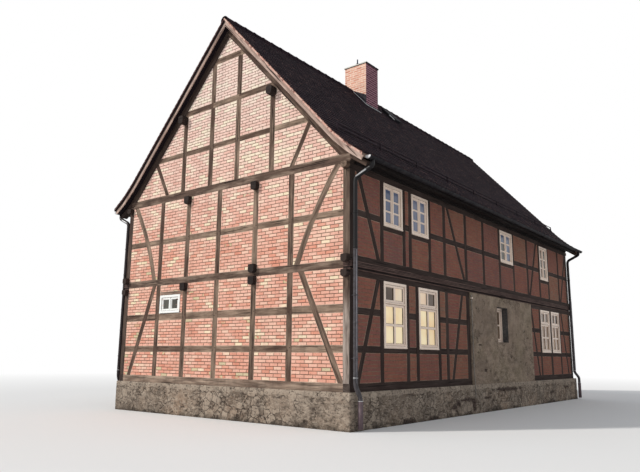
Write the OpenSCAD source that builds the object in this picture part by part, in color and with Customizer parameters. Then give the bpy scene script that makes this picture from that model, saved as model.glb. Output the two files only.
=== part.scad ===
// Two-storey half-timbered house with a steep gabled roof.
// X runs along the street front, Y from the front to the back, Z up.
// The origin is on the ground in the middle of the house.

/* [House] */
// Length of the timber walls along the street
wall_len = 15380; // [14200:20:19000]
// Width of the gable walls
wall_w = 8260; // [7600:20:9000]
// Height of the masonry plinth
plinth_h = 800; // [600:10:1100]
// Thickness of the plinth walls
plinth_t = 460; // [300:10:700]
// How far the plinth stands in front of the timber walls
plinth_out = 40; // [10:5:120]
// How far the plinth stands out at the far gable
plinth_far_out = 240; // [40:5:300]

/* [Timber] */
// Depth of the wall timbers
timber_t = 180; // [140:5:240]
// Width of an ordinary post
post_w = 165; // [120:5:220]
// Width of a window jamb post
jamb_w = 150; // [110:5:200]
// Width of a corner post
corner_w = 210; // [160:5:280]
// Width of a brace
brace_w = 150; // [110:5:190]
// Height of the sill beam on the plinth
sill_h = 180; // [130:5:240]
// Height of an intermediate rail
rail_h = 155; // [110:5:200]
// How far the beam ends stand out of the gables
beam_out = 120; // [40:5:180]
// Width of the long beams inside
girder_w = 190; // [140:5:240]
// Height of the long beams inside
girder_h = 210; // [160:5:260]

/* [Brick panels] */
// Thickness of the brick panels
panel_t = 150; // [100:5:165]
// How far the brick faces lie behind the timber faces
panel_in = 10; // [0:1:15]

/* [Storeys] */
// Clear height from the sill beam to the plate in the ground storey
ground_clear = 2330; // [2200:10:2700]
// Height of the plate above the ground storey
plate_h = 130; // [100:5:180]
// Height of the moulded storey beam
storey_h = 210; // [170:5:260]
// Height of the sill beam of the upper storey
upper_sill_h = 130; // [100:5:180]
// Clear height of the upper storey
upper_clear = 1950; // [1800:10:2300]
// Height of the plate under the eaves
eaves_plate_h = 170; // [130:5:220]
// Height of the tie beams and of the attic floor
tie_h = 210; // [160:5:260]

/* [Roof] */
// Pitch of the roof in degrees
pitch = 47.6; // [44:0.1:50]
// Thickness of tiles, battens and boarding
roof_t = 100; // [70:5:130]
// Depth of a rafter
rafter_d = 210; // [150:5:240]
// How far the flared eaves reach out past the walls
eaves_out = 500; // [350:10:600]
// How far the flare starts inside the wall face
flare_in = 350; // [200:10:600]
// How far the roof boarding reaches out at the gables
verge_out = 170; // [130:5:300]
// Thickness of a barge board
barge_t = 30; // [20:1:45]
// Height of a barge board below the tiles
barge_h = 110; // [80:5:200]
// How far the tiles reach out past the barge boards
tile_out = 50; // [20:5:80]
// Thickness of the tiles with their battens
tile_h = 40; // [30:1:60]

/* [Roof fittings] */
// Radius of the gutters
gutter_r = 75; // [60:1:90]
// Thickness of the gutter sheet
gutter_t = 6; // [4:1:10]
// Radius of the downpipes
pipe_r = 55; // [40:1:65]
// Length of the chimney along the ridge
chimney_l = 740; // [500:10:1000]
// Width of the chimney across the ridge
chimney_w = 910; // [600:10:1100]
// Height of the chimney above the ridge
chimney_up = 940; // [600:10:1500]
// Distance of the chimney from the near gable
chimney_x = 5970; // [5200:10:6100]

/* [Windows] */
// Width of the outer member of a window frame
frame_w = 62; // [50:1:75]
// Depth of a window frame
frame_t = 100; // [80:1:130]
// Width of a casement's stiles and rails
stile_w = 52; // [45:1:85]
// Depth of a casement
casement_t = 50; // [34:1:60]
// How far the casements lie behind the face of their frame
casement_in = 24; // [6:1:34]
// Width of the transom under the top lights
transom_w = 42; // [30:1:60]
// Width of the upright bar in the middle of a single casement
mid_bar_w = 60; // [45:1:95]
// Height of the glass in the top lights
light_h = 316; // [220:1:350]
// Thickness of the glass sheets
glass_t = 6; // [4:1:10]

/* [Hidden] */
half_w = wall_w / 2;
frame_out = 12;
masonry_depth = 160;
floor_t = 200;
upper_floor_t = storey_h + 50;

moulding_out = 58;
beam_cut = 45;
top_cut = 20;

// Heights above the ground, storey by storey
sill_z = plinth_h + sill_h;
plate_z = sill_z + ground_clear;
storey_z = plate_z + plate_h;
upper_sill_z = storey_z + storey_h;
upper_z = upper_sill_z + upper_sill_h;
eaves_plate_z = upper_z + upper_clear;
tie_z = eaves_plate_z + eaves_plate_h;
attic_z = tie_z + tie_h;

// Rails of the front and back walls
low_rail_z = plinth_h + 835;
mid_rail_z = plinth_h + 1670;
upper_rail_z = upper_z + 910;

// Beam and rails of the gables
gable_beam_z = storey_z + 40;
gable_beam_h = 180;
gable_rail_z = upper_z + 880;
gable_mid_z = plinth_h + 1700;
gable_mid_h = 180;

// Roof lines, with y measured from the front wall face
rafter_foot_lift = 10;
flare_run = 400;
flare_drop = 373;
flare_t = 132;
eaves_drop = 327;
eaves_t = 99;
slab_v = roof_t / cos(pitch);
rafter_v = rafter_d / cos(pitch);
ridge_z = attic_z + rafter_foot_lift + half_w * tan(pitch) + slab_v;

function roof_z(y) = ridge_z - tan(pitch) * (half_w - y);
function rafter_top(y) = roof_z(y) - slab_v;
function rafter_low(y) = rafter_top(y) - rafter_v;
function rafter_low_y(z) = half_w - (ridge_z - slab_v - rafter_v - z) / tan(pitch);

// Corner points of the flared eaves, top side and underside
flare_a = [flare_in, roof_z(flare_in)];
flare_b = [flare_in - flare_run, flare_a[1] - flare_drop];
flare_c = [-eaves_out, flare_b[1] - eaves_drop];
under_a = [flare_in, rafter_top(flare_in)];
under_b = [flare_b[0], flare_b[1] - flare_t];
under_c = [-eaves_out, flare_c[1] - eaves_t];

// A point moved straight down
function lower(p, drop) = [p[0], p[1] - drop];

// Thickness of the tile layer, measured upright, and its reach past the gables
tile_v = tile_h / cos(pitch);
tile_reach = verge_out + barge_t + tile_out;

// A point on the underside of the last flare, a given way in from the eaves edge
function under_eaves(d) = under_c + (under_b - under_c) * d / (under_b[0] - under_c[0]);

// Windows as [left edge, width, sill height, height]
upper_windows = [
    [1395, 870, upper_z + 865, upper_clear - 880],
    [2725, 870, upper_z + 870, upper_clear - 885],
    [8465, 1035, upper_z + 865, upper_clear - 880],
    [wall_len - 3210, 815, upper_z + 660, upper_clear - 680]];
ground_windows = [
    [1365, 1025, low_rail_z + rail_h - 45, plate_z - low_rail_z - rail_h + 45],
    [3012, 1012, low_rail_z + rail_h - 45, plate_z - low_rail_z - rail_h + 45],
    [wall_len - 3435, 950, low_rail_z + rail_h - 20, plate_z - low_rail_z - rail_h + 20],
    [wall_len - 2290, 900, low_rail_z + rail_h - 20, plate_z - low_rail_z - rail_h + 20]];
masonry_window = [7910, 850, plinth_h + 1245, 1100];
gable_window = [wall_w - 2555, 855, gable_mid_z + gable_mid_h + 10, 500];

// The plastered masonry stretch of the front wall
masonry_from = 5990;
masonry_to = wall_len - 4450;
masonry_t = 420;
masonry_out = 32;

// Posts that stand free of windows, as left edges
upper_posts = [4445, 5790, 7040, wall_len - 4585, wall_len - 1210];
ground_posts = [4480];
back_posts = [4480, 5790, 7040, 8310, 9550, wall_len - 4585];

// Gable posts as centre lines, from the front corner
gable_posts = [1739, 2926, 4273, wall_w - 2743, wall_w - 1590];
attic_posts = [3676, wall_w - 3561];
purlin_post_from_wall = 2430;

// Long beams inside, as centre lines from the front wall face
girder_y = [gable_posts[1], gable_posts[3]];
purlin_h = 230;
purlin_cut = 40;
purlin_out = verge_out + barge_t;
collar_z = attic_z + 2225;
collar_h = 165;
attic_rail_z = attic_z + 1025;
attic_rail_h = 145;
top_rail_z = attic_z + 3515;
top_rail_h = 165;

// Chimney, hatch and snow guards
chimney_y = half_w - 559;
ridge_r = 115;
ridge_drop = 75;
ridge_skirt = 70;
flash_w = 90;
flash_t = 14;
flash_up = 60;
cap_t = 60;
cap_out = 25;
rod_r = 14;
rod_h = 190;
hatch_x = 7300;
hatch_y = half_w - 730;
hatch_w = 600;
hatch_l = 600;
hatch_h = 75;
lid_t = 28;
guard_y = 480;
guard_h = 190;

timber_dark = "#3a2c26";
timber_grey = "#7b6a5c";
brick_red = "#8a4c3c";
brick_pale = "#c58d78";
plaster = "#776c60";
tile_dark = "#2e2729";
paint_white = "#d8d2c4";
zinc = "#6c6b70";

// Placing helpers. A wall drawing has its distance along the wall as x and its height as y.
module front_wall(t, inset = 0) {
    translate([-wall_len / 2, -half_w + inset + t, 0])
        rotate([90, 0, 0])
            linear_extrude(height = t)
                children();
}

module back_wall(t, inset = 0) {
    mirror([0, 1, 0]) front_wall(t, inset) children();
}

module near_wall(t, inset = 0) {
    translate([-wall_len / 2 + inset, -half_w, 0])
        rotate([90, 0, 90])
            linear_extrude(height = t)
                children();
}

module far_wall(t, inset = 0) {
    mirror([1, 0, 0]) near_wall(t, inset) children();
}

// A section across the house, drawn from the front wall face, run from x0 to x1.
module along_house(x0, x1) {
    translate([x0 - wall_len / 2, -half_w, 0])
        rotate([90, 0, 90])
            linear_extrude(height = x1 - x0)
                children();
}

module on_back() {
    mirror([0, 1, 0]) children();
}

// Timbers as flat outlines
module beam(x0, x1, z, h) {
    translate([x0, z]) square([x1 - x0, h]);
}

module post(x, w, z0, z1) {
    translate([x, z0]) square([w, z1 - z0]);
}

// A brace between two end points, bowed by its belly to one side, with the ends running on.
module brace(a, b, w = brace_w, belly = 0, steps = 6) {
    d = b - a;
    run = norm(d);
    n = [-d[1], d[0]] / run;
    function mid(t) = a + d * t + n * belly * 4 * t * (1 - t);
    polygon(concat(
        [for (i = [0 : steps]) mid(i / steps) + n * w / 2],
        [for (i = [steps : -1 : 0]) mid(i / steps) - n * w / 2]));
}

module window_hole(w) {
    translate([w[0], w[2]]) square([w[1], w[3]]);
}

module window_holes(list) {
    for (w = list) window_hole(w);
}

// Both jamb posts of a window and the short rail under it
module window_jambs(w, z0, z1) {
    post(w[0] - jamb_w, jamb_w, z0, z1);
    post(w[0] + w[1], jamb_w, z0, z1);
}

module window_rail(w, h) {
    translate([w[0], w[2] - h]) square([w[1], h]);
}

module clip_to(x0, x1, z0, z1) {
    intersection() {
        translate([x0, z0]) square([x1 - x0, z1 - z0]);
        children();
    }
}

// Upper storey of a long wall
module upper_lattice() {
    difference() {
        union() {
            beam(0, wall_len, upper_sill_z, upper_sill_h);
            beam(0, wall_len, eaves_plate_z, eaves_plate_h);
            beam(0, wall_len, upper_rail_z, rail_h);
            post(0, corner_w, upper_sill_z, tie_z);
            post(wall_len - corner_w, corner_w, upper_sill_z, tie_z);
            for (w = upper_windows) {
                window_jambs(w, upper_z, eaves_plate_z);
                window_rail(w, 115);
            }
            for (x = upper_posts) post(x, post_w, upper_z, eaves_plate_z);
            clip_to(0, wall_len, upper_sill_z, tie_z) upper_braces();
        }
        window_holes(upper_windows);
        for (w = upper_windows)
            translate([w[0], w[2] + w[3]]) square([w[1], eaves_plate_z - w[2] - w[3]]);
    }
    for (w = upper_windows)
        translate([w[0], w[2] + w[3]]) square([w[1], eaves_plate_z - w[2] - w[3]]);
}

module upper_braces() {
    brace([300, eaves_plate_z + 80], [1180, upper_z - 60]);
    brace([4690, eaves_plate_z + 80], [5740, upper_z - 60]);
    brace([wall_len - 3500, eaves_plate_z + 80], [wall_len - 4370, upper_z - 60]);
    brace([wall_len - 150, eaves_plate_z + 80], [wall_len - 990, upper_z - 60]);
}

// Ground storey of the front wall, near and far of the plastered stretch
module ground_lattice_near() {
    difference() {
        union() {
            beam(0, masonry_from, plinth_h, sill_h);
            beam(0, masonry_from, plate_z, plate_h);
            beam(0, masonry_from, low_rail_z, rail_h);
            beam(0, masonry_from, mid_rail_z, rail_h);
            post(0, corner_w, plinth_h, storey_z);
            post(masonry_from - corner_w, corner_w, plinth_h, storey_z);
            for (i = [0, 1]) window_jambs(ground_windows[i], sill_z, plate_z);
            for (x = ground_posts) post(x, post_w, sill_z, plate_z);
            clip_to(0, masonry_from, sill_z, storey_z) {
                brace([1180, plate_z + 100], [290, sill_z - 40]);
                brace([5560, plate_z + 100], [4840, sill_z - 40]);
            }
        }
        window_holes(ground_windows);
    }
}

module ground_lattice_far() {
    difference() {
        union() {
            beam(masonry_to, wall_len, plinth_h, sill_h);
            beam(masonry_to, wall_len, plate_z, plate_h);
            beam(masonry_to, wall_len, low_rail_z, rail_h);
            beam(masonry_to, wall_len, mid_rail_z, rail_h);
            post(wall_len - corner_w, corner_w, plinth_h, storey_z);
            for (i = [2, 3]) window_jambs(ground_windows[i], sill_z, plate_z);
            clip_to(masonry_to, wall_len, sill_z, storey_z) {
                brace([masonry_to + 80, plate_z + 100], [masonry_to + 690, sill_z - 40]);
                brace([wall_len - 1090, plate_z + 100], [wall_len - 500, sill_z - 40]);
            }
        }
        window_holes(ground_windows);
    }
}

// Ground storey of the back wall, in timber from corner to corner
module back_ground_lattice() {
    difference() {
        union() {
            beam(0, wall_len, plinth_h, sill_h);
            beam(0, wall_len, plate_z, plate_h);
            beam(0, wall_len, low_rail_z, rail_h);
            beam(0, wall_len, mid_rail_z, rail_h);
            post(0, corner_w, plinth_h, storey_z);
            post(wall_len - corner_w, corner_w, plinth_h, storey_z);
            for (w = ground_windows) window_jambs(w, sill_z, plate_z);
            for (x = back_posts) post(x, post_w, sill_z, plate_z);
            clip_to(0, wall_len, sill_z, storey_z) {
                brace([1180, plate_z + 100], [290, sill_z - 40]);
                brace([5740, plate_z + 100], [4840, sill_z - 40]);
                brace([wall_len - 4370, plate_z + 100], [wall_len - 3760, sill_z - 40]);
                brace([wall_len - 990, plate_z + 100], [wall_len - 400, sill_z - 40]);
            }
        }
        window_holes(ground_windows);
    }
}

// Gable wall up to the tie beam, between the corner posts of the long walls
module gable_lattice() {
    in = timber_t;
    out = wall_w - timber_t;
    difference() {
        union() {
            beam(in, out, plinth_h, sill_h);
            beam(in, out, low_rail_z, rail_h);
            beam(in, out, gable_mid_z, gable_mid_h);
            beam(in, out, gable_beam_z, gable_beam_h);
            beam(in, out, gable_rail_z, rail_h);
            for (y = gable_posts) post(y - post_w / 2, post_w, sill_z, tie_z);
            window_rail(gable_window, 20);
            translate([gable_window[0] - 105, gable_window[2] + gable_window[3]])
                square([gable_window[1] + 105, 95]);
            clip_to(in, out, sill_z, tie_z) gable_braces();
        }
        window_hole(gable_window);
        girder_holes();
    }
}

module gable_braces() {
    clip_to(0, wall_w, gable_beam_z, tie_z) {
        brace([wall_w - 300, tie_z + 40], [wall_w - 1380, gable_beam_z + 100], belly = -110);
        brace([300, tie_z + 40], [1560, gable_beam_z + 100], belly = 90);
    }
    clip_to(0, wall_w, sill_z, gable_beam_z + 60) {
        brace([wall_w - 1420, gable_beam_z + 60], [wall_w - 400, sill_z - 60]);
        brace([1430, gable_beam_z + 60], [210, sill_z - 60]);
    }
}

// Sections of the long beams where they pass through a gable
module girder_section(y, z) {
    translate([y - girder_w / 2, z]) cut_corner_section(girder_w, girder_h);
}

// A beam section with its lower and upper corners cut off
module cut_corner_section(w, h, low = beam_cut, top = top_cut) {
    polygon([[low, 0], [w - low, 0], [w, low], [w, h - top], [w - top, h], [top, h], [0, h - top], [0, low]]);
}

module girder_holes() {
    for (y = girder_y) {
        girder_section(y, gable_beam_z - girder_h);
        girder_section(y, tie_z - girder_h);
    }
    girder_section(girder_y[0], gable_beam_z + 90);
}

// Rafter pair, collar, rails and posts of a gable triangle on its tie beam
module half_truss() {
    foot = rafter_low_y(attic_z);
    tip = under_eaves(30);
    polygon([[half_w, rafter_top(half_w)], under_a, under_b, tip, [tip[0], tip[1] - 110],
        [0, tie_z + 90], [0, attic_z], [foot, attic_z], [half_w, rafter_low(half_w)]]);
}

module mirror_section() {
    children();
    translate([wall_w, 0]) mirror([1, 0]) children();
}

module under_rafters() {
    foot = rafter_low_y(attic_z);
    polygon([[foot, attic_z], [wall_w - foot, attic_z], [half_w, rafter_low(half_w)]]);
}

module truss_lattice() {
    beam(0, wall_w, tie_z, tie_h);
    mirror_section() half_truss();
    difference() {
        intersection() {
            under_rafters();
            union() {
                beam(0, wall_w, attic_rail_z, attic_rail_h);
                beam(0, wall_w, collar_z, collar_h);
                beam(0, wall_w, top_rail_z, top_rail_h);
                for (y = attic_posts) post(y - post_w / 2, post_w, attic_z, top_rail_z);
                mirror_section() {
                    post(purlin_post_from_wall - post_w / 2, post_w, attic_z, collar_z);
                    brace([1150, attic_rail_z + 60], [1760, attic_z - 30], w = 130);
                }
            }
        }
        mirror_section() purlin_section();
    }
}

module purlin_section() {
    outer = rafter_low_y(collar_z);
    translate([outer, collar_z - purlin_h])
        cut_corner_section(girder_w, purlin_h, purlin_cut, purlin_cut);
}

// Brick panels: what a wall's timbers leave open
module long_wall_ground_area(x0, x1) {
    translate([x0, plinth_h]) square([x1 - x0, storey_z - plinth_h]);
}

module long_wall_upper_area() {
    translate([0, upper_sill_z]) square([wall_len, tie_z - upper_sill_z]);
}

module gable_area() {
    translate([timber_t, plinth_h]) square([wall_w - 2 * timber_t, tie_z - plinth_h]);
}

// Plinth
module plinth_front() {
    color(plaster) plinth_long();
}

module plinth_back() {
    color(plaster) on_back() plinth_long();
}

module plinth_long() {
    translate([-wall_len / 2 - plinth_out, -half_w - plinth_out, 0])
        cube([wall_len + plinth_out + plinth_far_out, plinth_t + plinth_out, plinth_h]);
}

module plinth_short(out) {
    translate([-wall_len / 2 - out, -half_w + plinth_t, 0])
        cube([plinth_t + out, wall_w - 2 * plinth_t, plinth_h]);
}

module plinth_near_gable() {
    color(plaster) plinth_short(plinth_out);
}

module plinth_far_gable() {
    color(plaster) mirror([1, 0, 0]) plinth_short(plinth_far_out);
}

// Floors, with openings for the chimney
module chimney_box(z0, z1, grow = 0) {
    translate([chimney_x - wall_len / 2 - grow, chimney_y - half_w - grow, z0])
        cube([chimney_l + 2 * grow, chimney_w + 2 * grow, z1 - z0]);
}

module floor_plate(inset, z, t) {
    translate([-wall_len / 2 + inset, -half_w + inset, z])
        cube([wall_len - 2 * inset, wall_w - 2 * inset, t]);
}

module ground_floor() {
    color(timber_dark) floor_plate(plinth_t, plinth_h - floor_t, floor_t);
}

module upper_floor() {
    color(timber_dark) difference() {
        floor_plate(timber_t, storey_z, upper_floor_t);
        chimney_box(storey_z - 1, storey_z + upper_floor_t + 1);
        storey_girder_bars(0);
    }
}

module attic_floor() {
    color(timber_dark) difference() {
        translate([-wall_len / 2 + timber_t, -half_w, tie_z])
            cube([wall_len - 2 * timber_t, wall_w, tie_h]);
        chimney_box(tie_z - 1, attic_z + 1);
    }
}

// The plastered stretch of the front wall, with its deep window opening
module rendered_wall() {
    color(plaster) difference() {
        front_wall(masonry_t + masonry_out, -masonry_out)
            translate([masonry_from, plinth_h])
                square([masonry_to - masonry_from, storey_z - plinth_h]);
        front_wall(masonry_t + masonry_out + 2, -masonry_out - 1) window_hole(masonry_window);
    }
}

// Ends of the long wall beams, standing out of both gables
module wall_beam_ends(z, h) {
    near_beam_end(z, h);
    mirror([1, 0, 0]) near_beam_end(z, h);
}

module near_beam_end(z, h) {
    along_house(-beam_out, 0)
        translate([0, z]) cut_corner_section(timber_t, h);
}

module front_frame_ground_near() {
    color(timber_dark) {
        front_wall(timber_t) ground_lattice_near();
        near_beam_end(plate_z - 40, plate_h + 40);
    }
}

module front_frame_ground_far() {
    color(timber_dark) {
        front_wall(timber_t) ground_lattice_far();
        mirror([1, 0, 0]) near_beam_end(plate_z - 40, plate_h + 40);
    }
}

module front_frame_upper() {
    color(timber_dark) {
        front_wall(timber_t) upper_lattice();
        wall_beam_ends(upper_sill_z - 50, upper_sill_h + 50);
        wall_beam_ends(eaves_plate_z + 20, eaves_plate_h - 20);
    }
}

module back_frame_ground() {
    color(timber_dark) on_back() {
        front_wall(timber_t) back_ground_lattice();
        wall_beam_ends(plate_z - 40, plate_h + 40);
    }
}

module back_frame_upper() {
    color(timber_dark) on_back() front_frame_upper();
}

module near_gable_frame() {
    color(timber_grey) near_wall(timber_t) gable_lattice();
}

module far_gable_frame() {
    color(timber_grey) far_wall(timber_t) gable_lattice();
}

module near_gable_truss() {
    color(timber_grey) near_wall(timber_t) truss_lattice();
}

module far_gable_truss() {
    color(timber_grey) far_wall(timber_t) truss_lattice();
}

module front_infill() {
    color(brick_red) front_wall(panel_t, panel_in) {
        difference() {
            long_wall_ground_area(0, masonry_from);
            ground_lattice_near();
            window_holes(ground_windows);
        }
        difference() {
            long_wall_ground_area(masonry_to, wall_len);
            ground_lattice_far();
            window_holes(ground_windows);
        }
        upper_panels();
    }
}

module upper_panels() {
    difference() {
        long_wall_upper_area();
        upper_lattice();
        window_holes(upper_windows);
    }
}

module back_infill() {
    color(brick_red) back_wall(panel_t, panel_in) {
        difference() {
            long_wall_ground_area(0, wall_len);
            back_ground_lattice();
            window_holes(ground_windows);
        }
        upper_panels();
    }
}

module gable_panels() {
    difference() {
        gable_area();
        gable_lattice();
        window_hole(gable_window);
        girder_holes();
    }
    difference() {
        under_rafters();
        truss_lattice();
        mirror_section() purlin_section();
    }
}

module near_gable_infill() {
    color(brick_pale) near_wall(panel_t, panel_in) gable_panels();
}

module far_gable_infill() {
    color(brick_pale) far_wall(panel_t, panel_in) gable_panels();
}

// Moulded beam between the storeys: a round at its foot, a deep hollow, and a fascia with
// fine grooves cut along it
round_r = 17;
hollow_h = 34;
groove_w = 8;
groove_count = 3;

module storey_moulding() {
    fascia_z = storey_z + 2 * round_r + hollow_h;
    fascia_h = upper_sill_z - fascia_z - 14;
    along_house(0, wall_len) {
        difference() {
            union() {
                translate([0, storey_z]) square([timber_t, storey_h]);
                translate([-moulding_out, fascia_z]) square([moulding_out + 1, fascia_h]);
            }
            for (i = [1 : groove_count])
                translate([-moulding_out - 1, fascia_z + i * fascia_h / (groove_count + 1)])
                    square([groove_w + 1, groove_w]);
        }
        translate([0, storey_z]) square([round_r, 2 * round_r]);
        translate([0, storey_z + round_r]) circle(r = round_r, $fn = 24);
    }
}

module front_storey_moulding() {
    color(timber_dark) storey_moulding();
}

module back_storey_moulding() {
    color(timber_dark) on_back() storey_moulding();
}

// Long beams that run through the house, with their ends out of the gables
module storey_girder_bars(out) {
    along_house(-out, wall_len + out) {
        for (y = girder_y) girder_section(y, gable_beam_z - girder_h);
        girder_section(girder_y[0], gable_beam_z + 90);
    }
}

module storey_girders() {
    color(timber_grey) storey_girder_bars(beam_out);
}

module attic_girders() {
    color(timber_grey) along_house(-beam_out, wall_len + beam_out)
        for (y = girder_y) girder_section(y, tie_z - girder_h);
}

module roof_purlins() {
    color(timber_grey) along_house(-purlin_out, wall_len + purlin_out)
        mirror_section() purlin_section();
}

// Roof slopes: boarding between the barge boards, and tiles that reach out over them
module roof_section() {
    polygon([[half_w, ridge_z], flare_a, flare_b, flare_c, under_c, under_b, under_a,
        [half_w, ridge_z - slab_v]]);
}

module tile_section() {
    polygon([[half_w, ridge_z], flare_a, flare_b, flare_c, lower(flare_c, tile_v), lower(flare_b, tile_v),
        lower(flare_a, tile_v), [half_w, ridge_z - tile_v]]);
}

module roof_layers() {
    along_house(-verge_out, wall_len + verge_out) roof_section();
    along_house(-tile_reach, wall_len + tile_reach) tile_section();
}

module roof_slope() {
    difference() {
        roof_layers();
        chimney_box(tie_z, ridge_z + 10);
    }
}

module roof_front() {
    color(tile_dark) roof_slope();
}

module roof_back() {
    color(tile_dark) difference() {
        on_back() roof_layers();
        chimney_box(tie_z, ridge_z + 10);
    }
}

module ridge_tiles() {
    color(tile_dark) difference() {
        along_house(-tile_reach, wall_len + tile_reach)
            difference() {
                translate([half_w, ridge_z - ridge_drop]) {
                    circle(r = ridge_r, $fn = 32);
                    translate([-ridge_r, -ridge_skirt]) square([2 * ridge_r, ridge_skirt]);
                }
                polygon([[half_w, ridge_z], [half_w - 3 * ridge_r, roof_z(half_w - 3 * ridge_r)],
                    [half_w + 3 * ridge_r, roof_z(half_w - 3 * ridge_r)]]);
            }
        chimney_box(ridge_z - 4 * ridge_r, ridge_z + 4 * ridge_r, flash_w);
    }
}

// Barge boards that follow the flared roof under the tiles, each cut square at its foot
module half_barge() {
    bv = barge_h / cos(pitch);
    foot = lower(flare_c, tile_v);
    last_run = flare_b - flare_c;
    square_cut = [last_run[1], -last_run[0]] * barge_h / norm(last_run);
    polygon([[half_w, ridge_z - tile_v], lower(flare_a, tile_v), lower(flare_b, tile_v), foot,
        foot + square_cut, lower(flare_b, tile_v + bv - 16), lower(flare_a, tile_v + bv),
        [half_w, ridge_z - tile_v - bv]]);
}

module barge_boards() {
    translate([-wall_len / 2 - verge_out - barge_t, -half_w, 0])
        rotate([90, 0, 90])
            linear_extrude(height = barge_t)
                mirror_section() half_barge();
}

module near_barge_boards() {
    color(timber_grey) barge_boards();
}

module far_barge_boards() {
    color(timber_grey) mirror([1, 0, 0]) barge_boards();
}

// Boxed cornice under the flared eaves
module eaves_cornice() {
    along_house(timber_t, wall_len - timber_t)
        polygon([[0, attic_z], under_b, under_eaves(40), under_eaves(40) - [0, 70],
            [-75, tie_z + 20], [-75, tie_z - 25], [0, tie_z - 25]]);
}

module front_eaves_cornice() {
    color(timber_dark) eaves_cornice();
}

module back_eaves_cornice() {
    color(timber_dark) on_back() eaves_cornice();
}

// Gutters
gutter_y = -eaves_out - gutter_r;
gutter_z = flare_c[1] - 52;
gutter_end = verge_out - 40;

module gutter_section() {
    intersection() {
        difference() {
            circle(r = gutter_r, $fn = 48);
            circle(r = gutter_r - gutter_t, $fn = 48);
        }
        translate([-gutter_r, -gutter_r]) square([2 * gutter_r, gutter_r]);
    }
    translate([gutter_r - gutter_t, -1]) square([gutter_t, 36]);
    translate([-gutter_r + gutter_t / 2, 0]) circle(r = gutter_t, $fn = 16);
}

module gutter_cap() {
    intersection() {
        circle(r = gutter_r, $fn = 48);
        translate([-gutter_r, -gutter_r]) square([2 * gutter_r, gutter_r]);
    }
}

module gutter() {
    along_house(-gutter_end, wall_len + gutter_end)
        translate([gutter_y, gutter_z]) gutter_section();
    for (x = [-gutter_end, wall_len + gutter_end - gutter_t])
        along_house(x, x + gutter_t)
            translate([gutter_y, gutter_z]) gutter_cap();
}

module front_gutter() {
    color(zinc) gutter();
}

module back_gutter() {
    color(zinc) on_back() gutter();
}

// Downpipes, as straight lengths between bends
pipe_gap = 7;
pipe_y = -moulding_out - pipe_gap - pipe_r;
pipe_foot_y = -plinth_out - 70 - pipe_r;
clamp_h = 30;
clamp_t = 5;
sleeve_t = 6;
// How much thinner a slanted length is, to slip into the lengths above and below
spigot = 1;

// How far from the end of the wall the near and the far pipe hang
pipe_x = 45;
far_pipe_x = 200;

// Corner points of a pipe from the gutter down to its foot, with x from the end of the wall
function pipe_points(x, foot_x, knee, drop) = [
    [x + 15, gutter_y, gutter_z - gutter_r + 1],
    [x + 15, gutter_y, gutter_z - gutter_r - 90],
    [x, pipe_y, gutter_z - 380],
    [x, pipe_y, plinth_h + knee],
    [foot_x, pipe_foot_y, plinth_h + knee - drop],
    [foot_x, pipe_foot_y, 60]];

near_pipe = pipe_points(pipe_x, pipe_x + 115, 120, 210);
far_pipe = pipe_points(far_pipe_x, -175, 245, 210);

// A ring round the pipe with a stem back to the wall
module pipe_clamp(x, y, z, wall_y) {
    translate([x, y, z]) cylinder(r = pipe_r + clamp_t, h = clamp_h, $fn = 24);
    translate([x - 8, y, z + 5]) cube([16, wall_y - y, clamp_h - 10]);
}

module along(a, d) {
    translate(a) rotate([0, acos(d[2] / norm(d)), atan2(d[1], d[0])]) children();
}

module pipe_length(a, b, slack) {
    along(a, b - a) cylinder(r = pipe_r - slack, h = norm(b - a), $fn = 24);
}

// A soldered sleeve over the bend where two lengths meet
sleeve_h = 104;

module sleeve(a, b, c) {
    d = (b - a) / norm(b - a) + (c - b) / norm(c - b);
    along(b, d) translate([0, 0, -sleeve_h / 2])
        cylinder(r = pipe_r + sleeve_t, h = sleeve_h, $fn = 24);
}

module downpipe(pts) {
    translate([-wall_len / 2, -half_w, 0]) {
        for (i = [0 : len(pts) - 2]) pipe_length(pts[i], pts[i + 1], i % 2 * spigot);
        for (i = [1 : len(pts) - 2]) sleeve(pts[i - 1], pts[i], pts[i + 1]);
        for (z = [plinth_h + 700, plate_z - 460, upper_z + 900])
            pipe_clamp(pts[2][0], pipe_y, z, 0);
        pipe_clamp(pts[4][0], pipe_foot_y, plinth_h / 2, -plinth_out);
    }
}

module downpipe_pair() {
    downpipe(near_pipe);
    mirror([1, 0, 0]) downpipe(far_pipe);
}

module front_downpipes() {
    color(zinc) downpipe_pair();
}

module back_downpipes() {
    color(zinc) on_back() downpipe_pair();
}

// Chimney
module chimney_stack() {
    color(brick_pale) chimney_box(plinth_h, ridge_z + chimney_up);
}

module chimney_cap() {
    top = ridge_z + chimney_up;
    rod_x = chimney_x - wall_len / 2 + chimney_l * 0.45;
    rod_y = chimney_y - half_w + chimney_w * 0.55;
    color(plaster) {
        chimney_box(top, top + cap_t, cap_out);
        translate([rod_x, rod_y, top]) cylinder(r = rod_r, h = cap_t + rod_h, $fn = 20);
    }
}

module flashing_band(t) {
    polygon([[half_w, ridge_z], [flare_in, roof_z(flare_in)],
        [flare_in, roof_z(flare_in) + t], [half_w, ridge_z + t]]);
}

// Sheet on the tiles round the chimney, with an upstand against the brickwork
module chimney_flashing() {
    color(zinc) difference() {
        for (part = [[flash_w, flash_t], [flash_t, flash_up]])
            intersection() {
                along_house(chimney_x - flash_w, chimney_x + chimney_l + flash_w)
                    mirror_section() flashing_band(part[1]);
                chimney_box(0, ridge_z + flash_up, part[0]);
            }
        chimney_box(0, ridge_z + 2 * flash_up);
    }
}

// Roof hatch on the front slope
module roof_hatch() {
    color(zinc)
        translate([hatch_x - wall_len / 2, hatch_y - half_w, roof_z(hatch_y)])
            rotate([pitch, 0, 0]) {
                cube([hatch_w, hatch_l, hatch_h]);
                translate([-25, -25, hatch_h]) cube([hatch_w + 50, hatch_l + 50, lid_t]);
            }
}

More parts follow.
